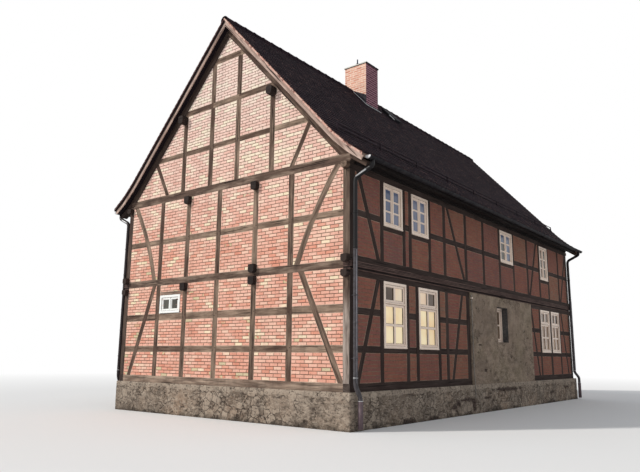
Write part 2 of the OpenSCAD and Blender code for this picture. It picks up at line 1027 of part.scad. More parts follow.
// Snow guards: two rails on posts above each eaves
module snow_guard() {
    foot = [guard_y, roof_z(guard_y)];
    end = 150;
    arm = 30;
    spacing = (wall_len - 2 * end - arm) / 8;
    along_house(end, wall_len - end)
        for (k = [0.45, 0.95])
            translate([foot[0], foot[1] + guard_h * k]) square([22, 22]);
    for (i = [0 : 8])
        along_house(end + i * spacing, end + arm + i * spacing)
            polygon([[foot[0] - 20, roof_z(foot[0] - 20)], [foot[0] + 42, roof_z(foot[0] + 42)],
                [foot[0] + 22, foot[1] + guard_h + 22], [foot[0], foot[1] + guard_h + 22]]);
}

module snow_guards() {
    color(zinc) {
        snow_guard();
        on_back() snow_guard();
    }
}

// Windows. Each has an outer frame with casements set back in it. A top light is a
// casement of its own over a transom.
module ring(x, z, w, h, t) {
    translate([x, z]) difference() {
        square([w, h]);
        translate([t, t]) square([w - 2 * t, h - 2 * t]);
    }
}

function transom_z(w) = w[2] + w[3] - frame_w - light_h - 2 * stile_w - transom_w;

module outer_frame(w, lights) {
    ring(w[0], w[2], w[1], w[3], frame_w);
    if (lights)
        translate([w[0], transom_z(w)]) square([w[1], transom_w]);
}

// Casements side by side that fill a frame from one height to another
module casement_row(w, z0, z1, count) {
    cw = (w[1] - 2 * frame_w) / count;
    for (i = [0 : count - 1])
        ring(w[0] + frame_w + i * cw, z0, cw, z1 - z0, stile_w);
    if (count == 1)
        post(w[0] + w[1] / 2 - mid_bar_w / 2, mid_bar_w, z0, z1);
}

module casements(w, lights, count) {
    low = w[2] + frame_w;
    high = w[2] + w[3] - frame_w;
    if (lights) {
        casement_row(w, low, transom_z(w), count);
        casement_row(w, transom_z(w) + transom_w, high, count);
    } else {
        casement_row(w, low, high, count);
    }
}

// Glass sheets let into the casements
glass_edge = 12;

module glass_row(w, z0, z1, count) {
    cw = (w[1] - 2 * frame_w) / count;
    cut = stile_w - glass_edge;
    for (i = [0 : count - 1])
        translate([w[0] + frame_w + i * cw + cut, z0 + cut])
            square([cw - 2 * cut, z1 - z0 - 2 * cut]);
}

module glass_sheets(w, lights, count) {
    low = w[2] + frame_w;
    high = w[2] + w[3] - frame_w;
    if (lights) {
        glass_row(w, low, transom_z(w), count);
        glass_row(w, transom_z(w) + transom_w, high, count);
    } else {
        glass_row(w, low, high, count);
    }
}

// How far the glass lies behind the face of the outer frame
glass_in = casement_in + casement_t / 2;

module window_set(list, lights, count, inset) {
    difference() {
        union() {
            front_wall(frame_t, inset)
                for (w = list) outer_frame(w, lights);
            front_wall(casement_t, inset + casement_in)
                for (w = list) casements(w, lights, count);
        }
        front_wall(glass_t, inset + glass_in)
            for (w = list) glass_sheets(w, lights, count);
    }
}

module upper_window_frames() {
    color(paint_white) {
        window_set(upper_windows, false, 2, -frame_out);
        on_back() window_set(upper_windows, false, 2, -frame_out);
    }
}

module ground_window_frames() {
    color(paint_white) {
        window_set(ground_windows, true, 1, -frame_out);
        on_back() window_set(ground_windows, true, 1, -frame_out);
        window_set([masonry_window], false, 2, masonry_depth);
    }
}

module gable_window_set() {
    difference() {
        union() {
            near_wall(frame_t, -frame_out) outer_frame(gable_window, false);
            near_wall(casement_t, casement_in - frame_out) casements(gable_window, false, 2);
        }
        near_wall(glass_t, glass_in - frame_out) glass_sheets(gable_window, false, 2);
    }
}

module gable_window_frames() {
    color(paint_white) {
        gable_window_set();
        mirror([1, 0, 0]) gable_window_set();
    }
}

module long_wall_glass() {
    front_wall(glass_t, glass_in - frame_out) {
        for (w = upper_windows) glass_sheets(w, false, 2);
        for (w = ground_windows) glass_sheets(w, true, 1);
    }
}

module window_glass() {
    color("lightsteelblue") {
        long_wall_glass();
        on_back() long_wall_glass();
        front_wall(glass_t, masonry_depth + glass_in) glass_sheets(masonry_window, false, 2);
        near_wall(glass_t, glass_in - frame_out) glass_sheets(gable_window, false, 2);
        far_wall(glass_t, glass_in - frame_out) glass_sheets(gable_window, false, 2);
    }
}

plinth_front();
plinth_back();
plinth_near_gable();
plinth_far_gable();
ground_floor();
upper_floor();
attic_floor();
rendered_wall();
front_frame_ground_near();
front_frame_ground_far();
front_frame_upper();
back_frame_ground();
back_frame_upper();
near_gable_frame();
near_gable_truss();
far_gable_frame();
far_gable_truss();
front_infill();
back_infill();
near_gable_infill();
far_gable_infill();
front_storey_moulding();
back_storey_moulding();
storey_girders();
attic_girders();
roof_purlins();
roof_front();
roof_back();
ridge_tiles();
near_barge_boards();
far_barge_boards();
front_eaves_cornice();
back_eaves_cornice();
front_gutter();
back_gutter();
front_downpipes();
back_downpipes();
chimney_stack();
chimney_cap();
chimney_flashing();
roof_hatch();
snow_guards();
ground_window_frames();
upper_window_frames();
gable_window_frames();
window_glass();
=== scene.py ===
# %% [markdown]
# # A half timbered house, dressed for its portrait
# The CAD model gives every size: walls, floors, roof slabs and the places of all timbers. This
# file adds what a builder's eye looks for on such a house: single timbers with their own grain,
# bricks laid panel by panel, roof tiles, rough plaster, paint and zinc. It works in metres, in
# the same frame as the CAD model, so nothing has to be fitted by hand.

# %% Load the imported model
import math
import random

import bmesh
import bpy
from mathutils import Matrix, Vector, noise


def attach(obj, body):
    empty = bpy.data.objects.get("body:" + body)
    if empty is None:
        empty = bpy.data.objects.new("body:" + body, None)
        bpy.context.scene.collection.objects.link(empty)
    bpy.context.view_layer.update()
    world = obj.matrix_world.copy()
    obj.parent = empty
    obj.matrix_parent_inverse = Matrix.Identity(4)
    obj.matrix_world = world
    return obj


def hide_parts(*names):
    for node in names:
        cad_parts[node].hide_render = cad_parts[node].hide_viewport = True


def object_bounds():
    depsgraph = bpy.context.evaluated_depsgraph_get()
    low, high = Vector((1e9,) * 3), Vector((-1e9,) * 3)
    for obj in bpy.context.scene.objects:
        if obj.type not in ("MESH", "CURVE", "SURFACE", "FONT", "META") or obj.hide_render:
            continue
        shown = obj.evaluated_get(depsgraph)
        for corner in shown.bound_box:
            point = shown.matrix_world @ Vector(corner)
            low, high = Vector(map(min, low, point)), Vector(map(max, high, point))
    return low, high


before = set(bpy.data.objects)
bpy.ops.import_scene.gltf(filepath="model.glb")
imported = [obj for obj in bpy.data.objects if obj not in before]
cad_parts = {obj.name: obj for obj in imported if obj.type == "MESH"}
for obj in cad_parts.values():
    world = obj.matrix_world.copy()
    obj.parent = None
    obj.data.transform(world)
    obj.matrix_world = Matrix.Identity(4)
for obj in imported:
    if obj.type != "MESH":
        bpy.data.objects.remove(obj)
cad_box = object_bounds()
print("CAD box", [round(v, 3) for corner in cad_box for v in corner])

# %% [markdown]
# ## The camera
# The photograph was taken at eye height near the corner, with the camera tipped up by eleven
# degrees, so upright lines lean together. A Track To constraint would lose the camera's slight
# roll. Axes built from yaw, pitch and roll keep all of it.

# %% Camera
yaw, pitch, roll = math.radians(51.64), math.radians(10.95), math.radians(0.57)
EYE = (-18.764, -12.053, 1.534)
SENSOR_WIDTH, LENS = 36, 35.2
ahead = Vector((math.sin(yaw) * math.cos(pitch), math.cos(yaw) * math.cos(pitch), math.sin(pitch)))
level_right = Vector((math.cos(yaw), -math.sin(yaw), 0))
level_up = level_right.cross(ahead)
right = math.cos(roll) * level_right + math.sin(roll) * level_up
up = math.cos(roll) * level_up - math.sin(roll) * level_right

camera = bpy.data.objects.new("street_camera", bpy.data.cameras.new("street_camera"))
bpy.context.scene.collection.objects.link(camera)
camera.matrix_world = Matrix((right, up, -ahead)).transposed().to_4x4()
camera.location = EYE
camera.data.sensor_width = SENSOR_WIDTH
camera.data.lens = LENS
bpy.context.scene.camera = camera
print("camera at", tuple(camera.location))

# %% [markdown]
# ## Short calls for node trees
# A material here has many small nodes. Each could be placed and wired with four lines. A helper
# that places a node, fills its inputs and hands back its output needs one, so that a material
# reads as a recipe.

# %% A bench for node trees
class Bench:
    """Places nodes in a tree. An input is a number, a vector, a colour, or another socket."""

    def __init__(self, tree):
        self.tree = tree

    def add(self, kind, inputs=None, **settings):
        node = self.tree.nodes.new(kind)
        for name, value in settings.items():
            setattr(node, name, value)
        for key, value in (inputs or {}).items():
            socket = node.inputs[key]
            if isinstance(value, bpy.types.NodeSocket):
                self.tree.links.new(value, socket)
            else:
                socket.default_value = (*value, 1) if socket.type == "RGBA" else value
        return node

    def calc(self, operation, a, b=0.0, clamp=False):
        wanted = {0: a, 1: b}
        return self.add("ShaderNodeMath", wanted, operation=operation, use_clamp=clamp).outputs[0]

    def plus(self, a, b, clamp=False):
        return self.calc("ADD", a, b, clamp)

    def minus(self, a, b, clamp=False):
        return self.calc("SUBTRACT", a, b, clamp)

    def times(self, a, b):
        return self.calc("MULTIPLY", a, b)

    def between(self, value, low, high, to_low=0.0, to_high=1.0):
        """Slides from one number to another while a value goes from low to high."""
        wanted = {"Value": value, 1: low, 2: high, 3: to_low, 4: to_high}
        return self.add("ShaderNodeMapRange", wanted, clamp=True).outputs[0]

    def band(self, value, low, high, soft):
        """1 where a value lies between low and high, with soft edges."""
        rise = self.between(value, low - soft, low + soft)
        return self.times(rise, self.between(value, high + soft, high - soft))

    def stretch(self, vector, factors):
        wanted = {0: vector, 1: factors}
        return self.add("ShaderNodeVectorMath", wanted, operation="MULTIPLY").outputs[0]

    def cloud(self, vector, scale, detail=3.0, roughness=0.55):
        wanted = {"Vector": vector, "Scale": scale, "Detail": detail, "Roughness": roughness}
        return self.add("ShaderNodeTexNoise", wanted).outputs[0]

    def mix(self, factor, a, b, blend="MIX"):
        wanted = {0: factor, 6: a, 7: b}
        return self.add("ShaderNodeMix", wanted, data_type="RGBA", blend_type=blend).outputs[2]

    def stain(self, colour, mask, amount, *rgb):
        """The colour, taken towards another one as far as a mask and an amount say."""
        return self.mix(self.times(mask, amount), colour, rgb)

    def ramp(self, factor, stops):
        node = self.add("ShaderNodeValToRGB", {0: factor})
        elements = node.color_ramp.elements
        while len(elements) < len(stops):
            elements.new(0.5)
        for element, (place, colour) in zip(elements, stops):
            element.position = place
            element.color = (*colour, 1)
        return node.outputs[0]


# %% [markdown]
# ## Shader groups
# Worn wood, rain marks and sandy skin come back in many finishes. Nodes copied into each material
# would have to be mended in each. A group with named inputs and outputs is built once.

# %% A helper for shader groups
KINDS = {"colour": "NodeSocketColor", "value": "NodeSocketFloat", "vector": "NodeSocketVector"}


def start_group(name, inputs, outputs):
    """An empty shader group with named sockets. Gives its bench, its inputs and its end node."""
    tree = bpy.data.node_groups.new(name, "ShaderNodeTree")
    for way, sockets in (("INPUT", inputs), ("OUTPUT", outputs)):
        for label, kind in sockets.items():
            tree.interface.new_socket(name=label, in_out=way, socket_type=KINDS[kind])
    bench = Bench(tree)
    return bench, tree.nodes.new("NodeGroupInput").outputs, tree.nodes.new("NodeGroupOutput")


def hand_out(bench, end, **results):
    for label, socket in results.items():
        bench.tree.links.new(socket, end.inputs[label])
    print("shader group", bench.tree.name, "gives", ", ".join(results))
    return bench.tree


# %% [markdown]
# ## Weathered wood
# Old oak that has stood in rain and sun turns grey where the sun reaches it and stays brown where
# it doesn't. Its soft spring growth washes out, which leaves fine ridges along the grain, and it
# splits in long checks. A wave texture draws rings too tidy for hewn oak, so the group stretches
# noise along a grain vector, whose first number runs along the timber.

# %% Shader group: weathered wood
b, given, end = start_group(
    "weathered_wood",
    {"Grain": "vector", "Heart": "colour", "Grey": "colour", "Bleach": "value"},
    {"Colour": "colour", "Height": "value"},
)
fibres = b.cloud(b.stretch(given["Grain"], (2.2, 60, 1)), 1.0, 5.0, 0.62)
boards = b.cloud(b.stretch(given["Grain"], (1.3, 8, 1)), 1.0, 4.0, 0.6)
splits = b.cloud(b.stretch(given["Grain"], (0.9, 26, 3)), 1.0, 2.0, 0.4)
checks = b.between(splits, 0.355, 0.325)
bleach = b.plus(b.between(boards, 0.36, 0.66, -0.42, 0.42), given["Bleach"], clamp=True)
wood = b.mix(bleach, given["Heart"], given["Grey"])
# lit is painted light and shade along the fibres: brighter on the ridges of the relief, darker between them.
lit = b.times(b.between(fibres, 0.3, 0.7, 0.52, 1.3), 0.8)
wood = b.mix(1.0, wood, b.ramp(lit, [(0, (0, 0, 0)), (1, (1.25, 1.25, 1.25))]), "MULTIPLY")
wood = b.stain(wood, checks, 0.85, 0.012, 0.009, 0.008)
relief = b.minus(b.times(fibres, 0.45), b.times(checks, 0.6))
weathered_wood = hand_out(b, end, Colour=wood, Height=relief)

# %% [markdown]
# ## Rain and dust
# Rain leaves upright streaks and dust settles in soft patches. Painting them by hand would take a
# texture for each side. Noise in the place on the house reaches all sides at once.

# %% Shader group: rain and dust
b, given, end = start_group(
    "rain_and_dust", {"Place": "vector"}, {"Streaks": "value", "Patches": "value"})
streaks = b.between(b.cloud(b.stretch(given["Place"], (5, 5, 0.45)), 1.0, 4.0), 0.48, 0.74)
patches = b.between(b.cloud(given["Place"], 0.9, 5.0, 0.6), 0.42, 0.66)
rain_and_dust = hand_out(b, end, Streaks=streaks, Patches=patches)

# %% [markdown]
# ## Grit
# Plaster, mortar, brick and cement have a sandy skin with a few small pits. Modelled grains would
# take millions of faces. Fine noise as a bump is enough, and one group serves all four.

# %% Shader group: grit
b, given, end = start_group(
    "grit", {"Place": "vector", "Size": "value"}, {"Height": "value", "Pits": "value"})
size = {0: given["Place"], "Scale": given["Size"]}
scaled = b.add("ShaderNodeVectorMath", size, operation="SCALE").outputs[0]
sand = b.cloud(scaled, 6.0, 5.0, 0.65)
holes = b.between(b.cloud(scaled, 2.6, 2.0), 0.36, 0.31)
grit = hand_out(b, end, Height=b.minus(sand, b.times(holes, 0.7)), Pits=holes)

# %% [markdown]
# ## From recipe to material
# Each finish is one material. Its Principled shader stays in the material itself, where the
# export can read it, and the groups only feed it with colours, masks and heights.

# %% A material under construction
class Finish(Bench):
    """One material of the house. Its shader stays here, and groups feed it."""

    made = {}

    def __init__(self, name):
        self.material = bpy.data.materials.new(name)
        self.material.use_nodes = True
        super().__init__(self.material.node_tree)
        self.tree.nodes.clear()
        self.place = self.add("ShaderNodeTexCoord").outputs["Object"]
        Finish.made[name] = self.material

    def axis(self, name):
        """The place on the house along X, Y or Z."""
        return self.add("ShaderNodeSeparateXYZ", {0: self.place}).outputs[name]

    def attribute(self, name, output="Fac"):
        return self.add("ShaderNodeAttribute", attribute_name=name).outputs[output]

    def group(self, tree, **inputs):
        return self.add("ShaderNodeGroup", inputs, node_tree=tree).outputs

    def sandy(self, size):
        return self.group(grit, Place=self.place, Size=size)

    def rained_on(self):
        return self.group(rain_and_dust, Place=self.place)

    def close(self, colour, roughness, height, depth, strength, shine=0.5, **plain):
        """Joins colour, roughness and bump in one shader. Plain values sit on its own sockets."""
        self.shader = self.add("ShaderNodeBsdfPrincipled", {"Base Color": colour, "Roughness": roughness})
        self.shader.inputs["Specular IOR Level"].default_value = shine
        for key, value in plain.items():
            self.shader.inputs[key].default_value = value
        bump = self.add("ShaderNodeBump", {"Height": height, "Distance": depth, "Strength": strength})
        self.tree.links.new(bump.outputs[0], self.shader.inputs["Normal"])
        self.add("ShaderNodeOutputMaterial", {"Surface": self.shader.outputs[0]})
        print(f"finish {self.material.name}: {len(self.tree.nodes)} nodes")
        return self.material


# %% [markdown]
# ## Timber finishes
# The street side lies in shade, and its timbers get the dark colours of wood in shade as painted
# shade. The gables stand in the sun; their timbers have gone grey-brown and get lighter colours as
# painted sunlight. Materials could be given out face by face. Here a modelled timber carries its
# own grain and a mark for the painted sun, and one material reads both. Beams that come straight
# from the CAD model have no marks, so they get their grain from the direction in which they run.

# %% Modelled timbers
# The mark "sun" picks painted light: 0 gives the colours of wood in shade, 1 those of sunlit wood
# on a gable. Above 1 the wood turns silver, and the gable face of the front corner post, at 1.6, is
# silver near the ground and further up is darkened towards the painted shade colours.
f = Finish("old_timber")
mark = f.attribute("sun")
upper_corner = f.times(f.between(mark, 1.35, 1.5), f.between(f.axis("Z"), 2.5, 3.1))
sunny = f.minus(f.calc("MINIMUM", mark, 1.0), f.times(upper_corner, 0.62))
silver = f.minus(f.between(mark, 1.0, 1.6), upper_corner, clamp=True)
# Heart and grey each mix a shaded and a sunlit copy of one wood colour, as painted shade and light.
heart = f.mix(sunny, (0.036, 0.023, 0.02), (0.104, 0.064, 0.047))
grey = f.mix(sunny, (0.062, 0.044, 0.038), (0.36, 0.262, 0.193))
heart = f.mix(silver, heart, (0.13, 0.1, 0.084))
grey = f.mix(silver, grey, (0.47, 0.395, 0.345))

grain = f.attribute("grain", "Vector")
bleach = f.between(f.attribute("tone"), 0.0, 1.0, 0.1, 0.7)
wood = f.group(weathered_wood, Grain=grain, Heart=heart, Grey=grey, Bleach=bleach)
colour = f.stain(wood["Colour"], f.attribute("end_grain"), 0.8, 0.04, 0.029, 0.025)
wide_checks = f.between(f.cloud(f.stretch(grain, (0.8, 9, 3)), 1.0, 2.0, 0.5), 0.42, 0.37)
colour = f.stain(colour, wide_checks, silver, 0.028, 0.02, 0.017)
dirt = f.rained_on()
colour = f.stain(colour, dirt["Streaks"], 0.35, 0.03, 0.023, 0.02)
roughness = f.between(wood["Height"], 0.0, 0.5, 0.95, 0.75)
old_timber = f.close(colour, roughness, wood["Height"], 0.005, 0.8, shine=0.12)


# %% Timbers straight from the CAD model
def running_grain(f, axes):
    """A grain vector that follows one direction of the house. Axes: along, across, third."""
    along, across, third = [f.axis(name) for name in axes]
    across = f.plus(across, f.times(third, 1.7))
    return f.add("ShaderNodeCombineXYZ", {0: along, 1: across, 2: 0.4}).outputs[0]


def running_timber(name, axes, heart, grey, bleach=0.45):
    f = Finish(name)
    grain = running_grain(f, axes)
    wood = f.group(weathered_wood, Grain=grain, Heart=heart, Grey=grey, Bleach=bleach)
    dirt = f.rained_on()
    colour = f.stain(wood["Colour"], dirt["Patches"], 0.3, 0.03, 0.024, 0.022)
    roughness = f.between(wood["Height"], 0.0, 0.5, 0.95, 0.7)
    return f.close(colour, roughness, wood["Height"], 0.004, 0.7, shine=0.12)


eaves_board = running_timber("eaves_board", "XZY", (0.01, 0.008, 0.008), (0.021, 0.016, 0.015))
beam_end = running_timber("beam_end", "YZX", (0.02, 0.015, 0.014), (0.052, 0.038, 0.033), 0.35)
inside_boards = running_timber("inside_boards", "XYZ", (0.034, 0.022, 0.019), (0.058, 0.041, 0.036))

# %% Moulded beam between the storeys, with painted shade in its fine grooves and its hollow
f = Finish("moulded_beam")
GROOVES, HOLLOW = (3.535, 3.617), (3.469, 3.509)
FIRST_GROOVE, GROOVE_PITCH = 3.536, 0.032
wood = f.group(weathered_wood, Grain=running_grain(f, "XZY"), Heart=(0.09, 0.054, 0.047),
               Grey=(0.15, 0.1, 0.086), Bleach=0.45)
height = f.axis("Z")
step = f.calc("FRACT", f.calc("DIVIDE", f.minus(height, FIRST_GROOVE), GROOVE_PITCH))
grooves = f.times(f.band(height, *GROOVES, 0.001), f.between(step, 0.46, 0.4))
shadowed = f.calc("MAXIMUM", grooves, f.band(height, *HOLLOW, 0.003))
colour = f.stain(wood["Colour"], shadowed, 0.9, 0.012, 0.009, 0.009)
moulded_beam = f.close(colour, 0.85, wood["Height"], 0.003, 0.5, shine=0.12)

# %% Barge boards, with grain up the slope
# A board runs straight down from its peak to the knee, and bends out twice before its tail. How
# far a place lies below the board's top edge finds the seam, and at the back the painted shadow of
# the tiles on the upper part of the board.
f = Finish("barge_board")
PEAK, KNEE, BEND, TAIL = 10.796, 3.78, 4.18, 4.63
across_house, height = f.axis("Y"), f.axis("Z")
side = f.calc("ABSOLUTE", across_house)
uphill = f.minus(f.times(height, 0.74), f.times(side, 0.67))
across = f.plus(f.times(height, 0.67), f.times(side, 0.74))
grain = f.add("ShaderNodeCombineXYZ", {0: uphill, 1: across, 2: f.axis("X")}).outputs[0]
wood = f.group(weathered_wood, Grain=grain, Heart=(0.3, 0.2, 0.165),
               Grey=(0.6, 0.455, 0.385), Bleach=0.55)
drop = f.times(f.calc("MINIMUM", side, KNEE), 1.095)
drop = f.plus(drop, f.between(side, KNEE, BEND, 0.0, 0.373))
drop = f.plus(drop, f.between(side, BEND, TAIL, 0.0, 0.327))
below = f.minus(f.minus(PEAK, drop), height)
colour = f.stain(wood["Colour"], f.band(below, 0.051, 0.067, 0.003), 0.35, 0.06, 0.04, 0.034)
in_shade = f.times(f.between(across_house, 0.0, 0.02), f.between(below, 0.112, 0.098))
colour = f.stain(colour, in_shade, 0.92, 0.022, 0.015, 0.014)
barge_board = f.close(colour, 0.85, wood["Height"], 0.004, 0.7, shine=0.12)

# %% [markdown]
# ## Brick and mortar
# The gable bricks are pale pink, peach and cream with some salmon ones, and get paler towards the
# ridge. The street side is plain red-brown, and its tone changes more from panel to panel than
# from brick to brick. A brick texture's courses would ignore the timbers, so the bricks are laid
# as faces further down. Each carries a random number, its tone, which picks its colour.

# %% Brick finishes
def brick_finish(name, colours, fade=0.0, mottle=0.16, chalky=0.0):
    """Fired clay. Fade shifts the tones with the height, chalky makes the upper bricks paler."""
    f = Finish(name)
    tone = f.attribute("tone")
    if fade:
        batch = f.between(f.cloud(f.place, 1.3, 3.0), 0.38, 0.62, 0.09, -0.11)
        shift = f.plus(batch, f.between(f.axis("Z"), 1.0, 9.0, fade, -fade))
        tone = f.plus(tone, shift, clamp=True)
    clay = f.ramp(tone, colours)
    if chalky:
        clay = f.mix(f.between(f.axis("Z"), 4.2, 8.8, 0.0, chalky), clay, (0.85, 0.77, 0.72))
    fire = f.cloud(f.place, 14.0, 3.0)
    clay = f.mix(f.between(fire, 0.35, 0.7, 0.0, mottle), clay, (0.07, 0.04, 0.035))
    skin = f.sandy(9.0)
    dirt = f.rained_on()
    clay = f.stain(clay, skin["Pits"], 0.45, 0.06, 0.04, 0.035)
    clay = f.stain(clay, dirt["Streaks"], 0.14, 0.1, 0.08, 0.07)
    return f.close(clay, 0.9, skin["Height"], 0.002, 0.55, shine=0.15)


street_brick = brick_finish("street_brick", [
    (0.0, (0.185, 0.086, 0.078)), (0.3, (0.225, 0.088, 0.07)), (0.55, (0.255, 0.098, 0.068)),
    (0.8, (0.26, 0.122, 0.082)), (1.0, (0.225, 0.132, 0.096))])
gable_brick = brick_finish("gable_brick", [
    (0.0, (0.84, 0.71, 0.47)), (0.19, (0.87, 0.7, 0.51)), (0.26, (0.84, 0.57, 0.44)),
    (0.45, (0.8, 0.455, 0.355)), (0.7, (0.75, 0.37, 0.275)), (0.88, (0.7, 0.305, 0.215)),
    (0.92, (0.62, 0.25, 0.175)), (0.94, (0.66, 0.55, 0.34)), (1.0, (0.6, 0.5, 0.33))],
    fade=0.14, mottle=0.1, chalky=0.52)
chimney_brick = brick_finish("chimney_brick", [
    (0.0, (0.9, 0.6, 0.46)), (0.5, (0.78, 0.39, 0.28)), (1.0, (0.6, 0.23, 0.16))], mottle=0.08)
# The stack's shaded sides get this darker brick as painted shade.
shaded_brick = brick_finish("shaded_brick", [
    (0.0, (0.15, 0.055, 0.078)), (0.5, (0.095, 0.032, 0.048)), (1.0, (0.062, 0.02, 0.032))], mottle=0.1)


# %% Mortar finishes
def mortar_finish(name, clean, dirty, shaded_before=None):
    """Sandy mortar. In front of a place across the house, where one is given, it is darkened as painted
    shade.
    """
    f = Finish(name)
    skin = f.sandy(14.0)
    dirt = f.rained_on()
    colour = f.mix(f.between(f.cloud(f.place, 5.0, 4.0), 0.35, 0.65), dirty, clean)
    colour = f.mix(f.times(dirt["Streaks"], 0.3), colour, dirty)
    if shaded_before is not None:
        shade_mask = f.between(f.axis("Y"), shaded_before, shaded_before - 0.002)
        colour = f.mix(shade_mask, colour, (0.37, 0.205, 0.245))
    return f.close(colour, 0.95, skin["Height"], 0.003, 0.8, shine=0.15)


street_mortar = mortar_finish("street_mortar", (0.225, 0.168, 0.112), (0.11, 0.08, 0.058))
gable_mortar = mortar_finish("gable_mortar", (0.23, 0.15, 0.1), (0.115, 0.075, 0.05))
chimney_mortar = mortar_finish("chimney_mortar", (0.92, 0.75, 0.63), (0.76, 0.56, 0.45), -0.545)
street_pointing = mortar_finish("street_pointing", (0.36, 0.27, 0.2), (0.21, 0.14, 0.1))
gable_pointing = mortar_finish("gable_pointing", (0.66, 0.54, 0.43), (0.4, 0.3, 0.23))

# %% [markdown]
# ## Roof finishes
# Old clay tiles are nearly black with soot, with a little lichen, and their broken edges show red
# clay. One material with a mask could hold both. The edges are faces of their own, so a second
# material on them is simpler and sharper.

# %% Roof tile finish
f = Finish("roof_tile")
tile = f.ramp(f.attribute("tone"), [
    (0, (0.013, 0.008, 0.012)), (0.5, (0.019, 0.012, 0.017)), (1, (0.031, 0.019, 0.023))])
skin = f.sandy(5.0)
dirt = f.rained_on()
lichen = f.between(f.cloud(f.place, 3.5, 6.0, 0.7), 0.62, 0.74, 0.0, 0.35)
tile = f.mix(lichen, tile, (0.06, 0.048, 0.042))
tile = f.stain(tile, dirt["Patches"], 0.3, 0.01, 0.007, 0.01)
roof_tile = f.close(tile, 0.85, skin["Height"], 0.002, 0.5, shine=0.05)

# %% Broken tile edges, where the red clay shows, with painted shade on the back slope
f = Finish("tile_edge")
clay = f.ramp(f.attribute("tone"), [
    (0, (0.1, 0.045, 0.038)), (0.6, (0.26, 0.125, 0.1)), (1, (0.42, 0.25, 0.2))])
skin = f.sandy(5.0)
clay = f.stain(clay, skin["Pits"], 0.6, 0.03, 0.02, 0.02)
back_slope = f.between(f.axis("Y"), -0.1, 0.1, 0.0, 0.85)
clay = f.mix(back_slope, clay, (0.045, 0.024, 0.022))
tile_edge = f.close(clay, 0.9, skin["Height"], 0.002, 0.5, shine=0.1)

# %% Roof boarding under the tiles and bedded clay along the verges, with painted shade
f = Finish("roof_bed")
VERGE_FACE, GABLE_PLANE = 7.936, 7.68
along, across = f.calc("ABSOLUTE", f.axis("X")), f.axis("Y")
streaks = f.cloud(f.stretch(f.place, (1, 9, 9)), 1.0, 4.0, 0.6)
clay = f.mix(f.between(streaks, 0.38, 0.62), (0.58, 0.31, 0.25), (0.64, 0.47, 0.39))
clay = f.mix(f.between(f.cloud(f.place, 7.0, 3.0), 0.52, 0.6, 0.0, 0.8), clay, (0.16, 0.07, 0.06))
# The back slope's verge clay is darkened as painted shade.
clay = f.mix(f.between(across, -0.02, 0.02, 0.0, 0.93), clay, (0.045, 0.022, 0.022))
# The boards are brown under the front verge's overhang, and near black elsewhere as painted shade.
overhang = f.times(f.between(along, GABLE_PLANE, GABLE_PLANE + 0.02), f.between(across, 0.02, -0.02))
boards = f.mix(overhang, (0.016, 0.011, 0.014), (0.21, 0.145, 0.118))
verge = f.between(along, VERGE_FACE, VERGE_FACE + 0.003)
roof_bed = f.close(f.mix(verge, boards, clay), 0.9, streaks, 0.003, 0.5, shine=0.08)

# %% [markdown]
# ## Plaster finishes
# The plaster is pebbly, blotched, cracked and stained near the ground, and on the plinth the
# rubble behind it shows through. One noise can't give all of that. Each effect gets a small
# helper, and the finish lays them over one another as the years did.

# %% Pebbles and blotches
def pebbly_coat(f, coat, flat, pale, dark, pebbled):
    """Pebbles, blotches and broad dark patches. Gives the coat and the two noises."""
    pebbles = f.cloud(flat, 7.5, 7.0, 0.7)
    rough = f.between(f.cloud(f.place, 0.8, 3.0), 0.38, 0.6, 0.25, 1.0)
    rough = f.times(rough, f.between(f.axis("Z"), 3.0, 0.8, pebbled * 0.45, pebbled))
    # Pale on the raised pebbles, and dark where the pebble relief is low, as painted shade in its hollows.
    coat = f.mix(f.times(rough, f.between(pebbles, 0.52, 0.66)), coat, pale)
    coat = f.mix(f.times(rough, f.between(pebbles, 0.5, 0.38)), coat, dark)
    blotch = f.cloud(f.place, 2.4, 4.0, 0.6)
    coat = f.mix(f.between(blotch, 0.52, 0.64, 0.0, 0.35), coat, pale)
    coat = f.mix(f.between(blotch, 0.46, 0.36, 0.0, 0.45), coat, dark)
    coat = f.mix(f.between(f.cloud(flat, 0.8, 3.0, 0.5), 0.5, 0.38, 0.0, 0.3), coat, dark)
    return coat, pebbles, blotch


# %% Rubble that shows through
RUBBLE_SIZE, SCAR_STONE_SIZE = 4.6, 8.0
BAND_FOOT, BAND_TOP = 0.675, 0.805


def rubble_through(f, coat, blotch, pale, dark, rubble):
    """Stones with dark joints, and a pale band along the plinth's top. Gives coat and joints."""
    wobble = f.add("ShaderNodeTexNoise", {"Vector": f.place, "Scale": 5.0, "Detail": 3.0}).outputs[1]
    wobble = f.stretch(wobble, (0.16, 0.16, 0.16))
    bent = f.add("ShaderNodeVectorMath", {0: f.place, 1: wobble}, operation="ADD").outputs[0]
    stones = {"Vector": bent, "Scale": RUBBLE_SIZE}
    cells = f.add("ShaderNodeTexVoronoi", stones, feature="DISTANCE_TO_EDGE").outputs[0]
    stone_tone = f.add("ShaderNodeTexVoronoi", stones).outputs[1]
    stone_tone = f.add("ShaderNodeSeparateXYZ", {0: stone_tone}).outputs[0]
    shows = f.times(f.between(f.cloud(f.place, 1.2, 3.0), 0.4, 0.54), rubble)
    coat = f.mix(f.times(shows, f.between(stone_tone, 0.55, 1.0, 0.0, 0.8)), coat, pale)
    coat = f.mix(f.times(shows, f.between(stone_tone, 0.45, 0.0, 0.0, 0.6)), coat, dark)
    joint = f.times(shows, f.between(cells, 0.055, 0.02))
    coat = f.stain(coat, joint, 0.8, 0.045, 0.035, 0.029)
    height = f.axis("Z")
    uneven = f.plus(height, f.between(blotch, 0.3, 0.7, -0.03, 0.03))
    band = f.between(uneven, BAND_FOOT - 0.01, BAND_FOOT + 0.01)
    band = f.times(band, f.between(height, BAND_TOP + 0.005, BAND_TOP - 0.005))
    return f.mix(f.times(band, rubble * 0.55), coat, pale), joint


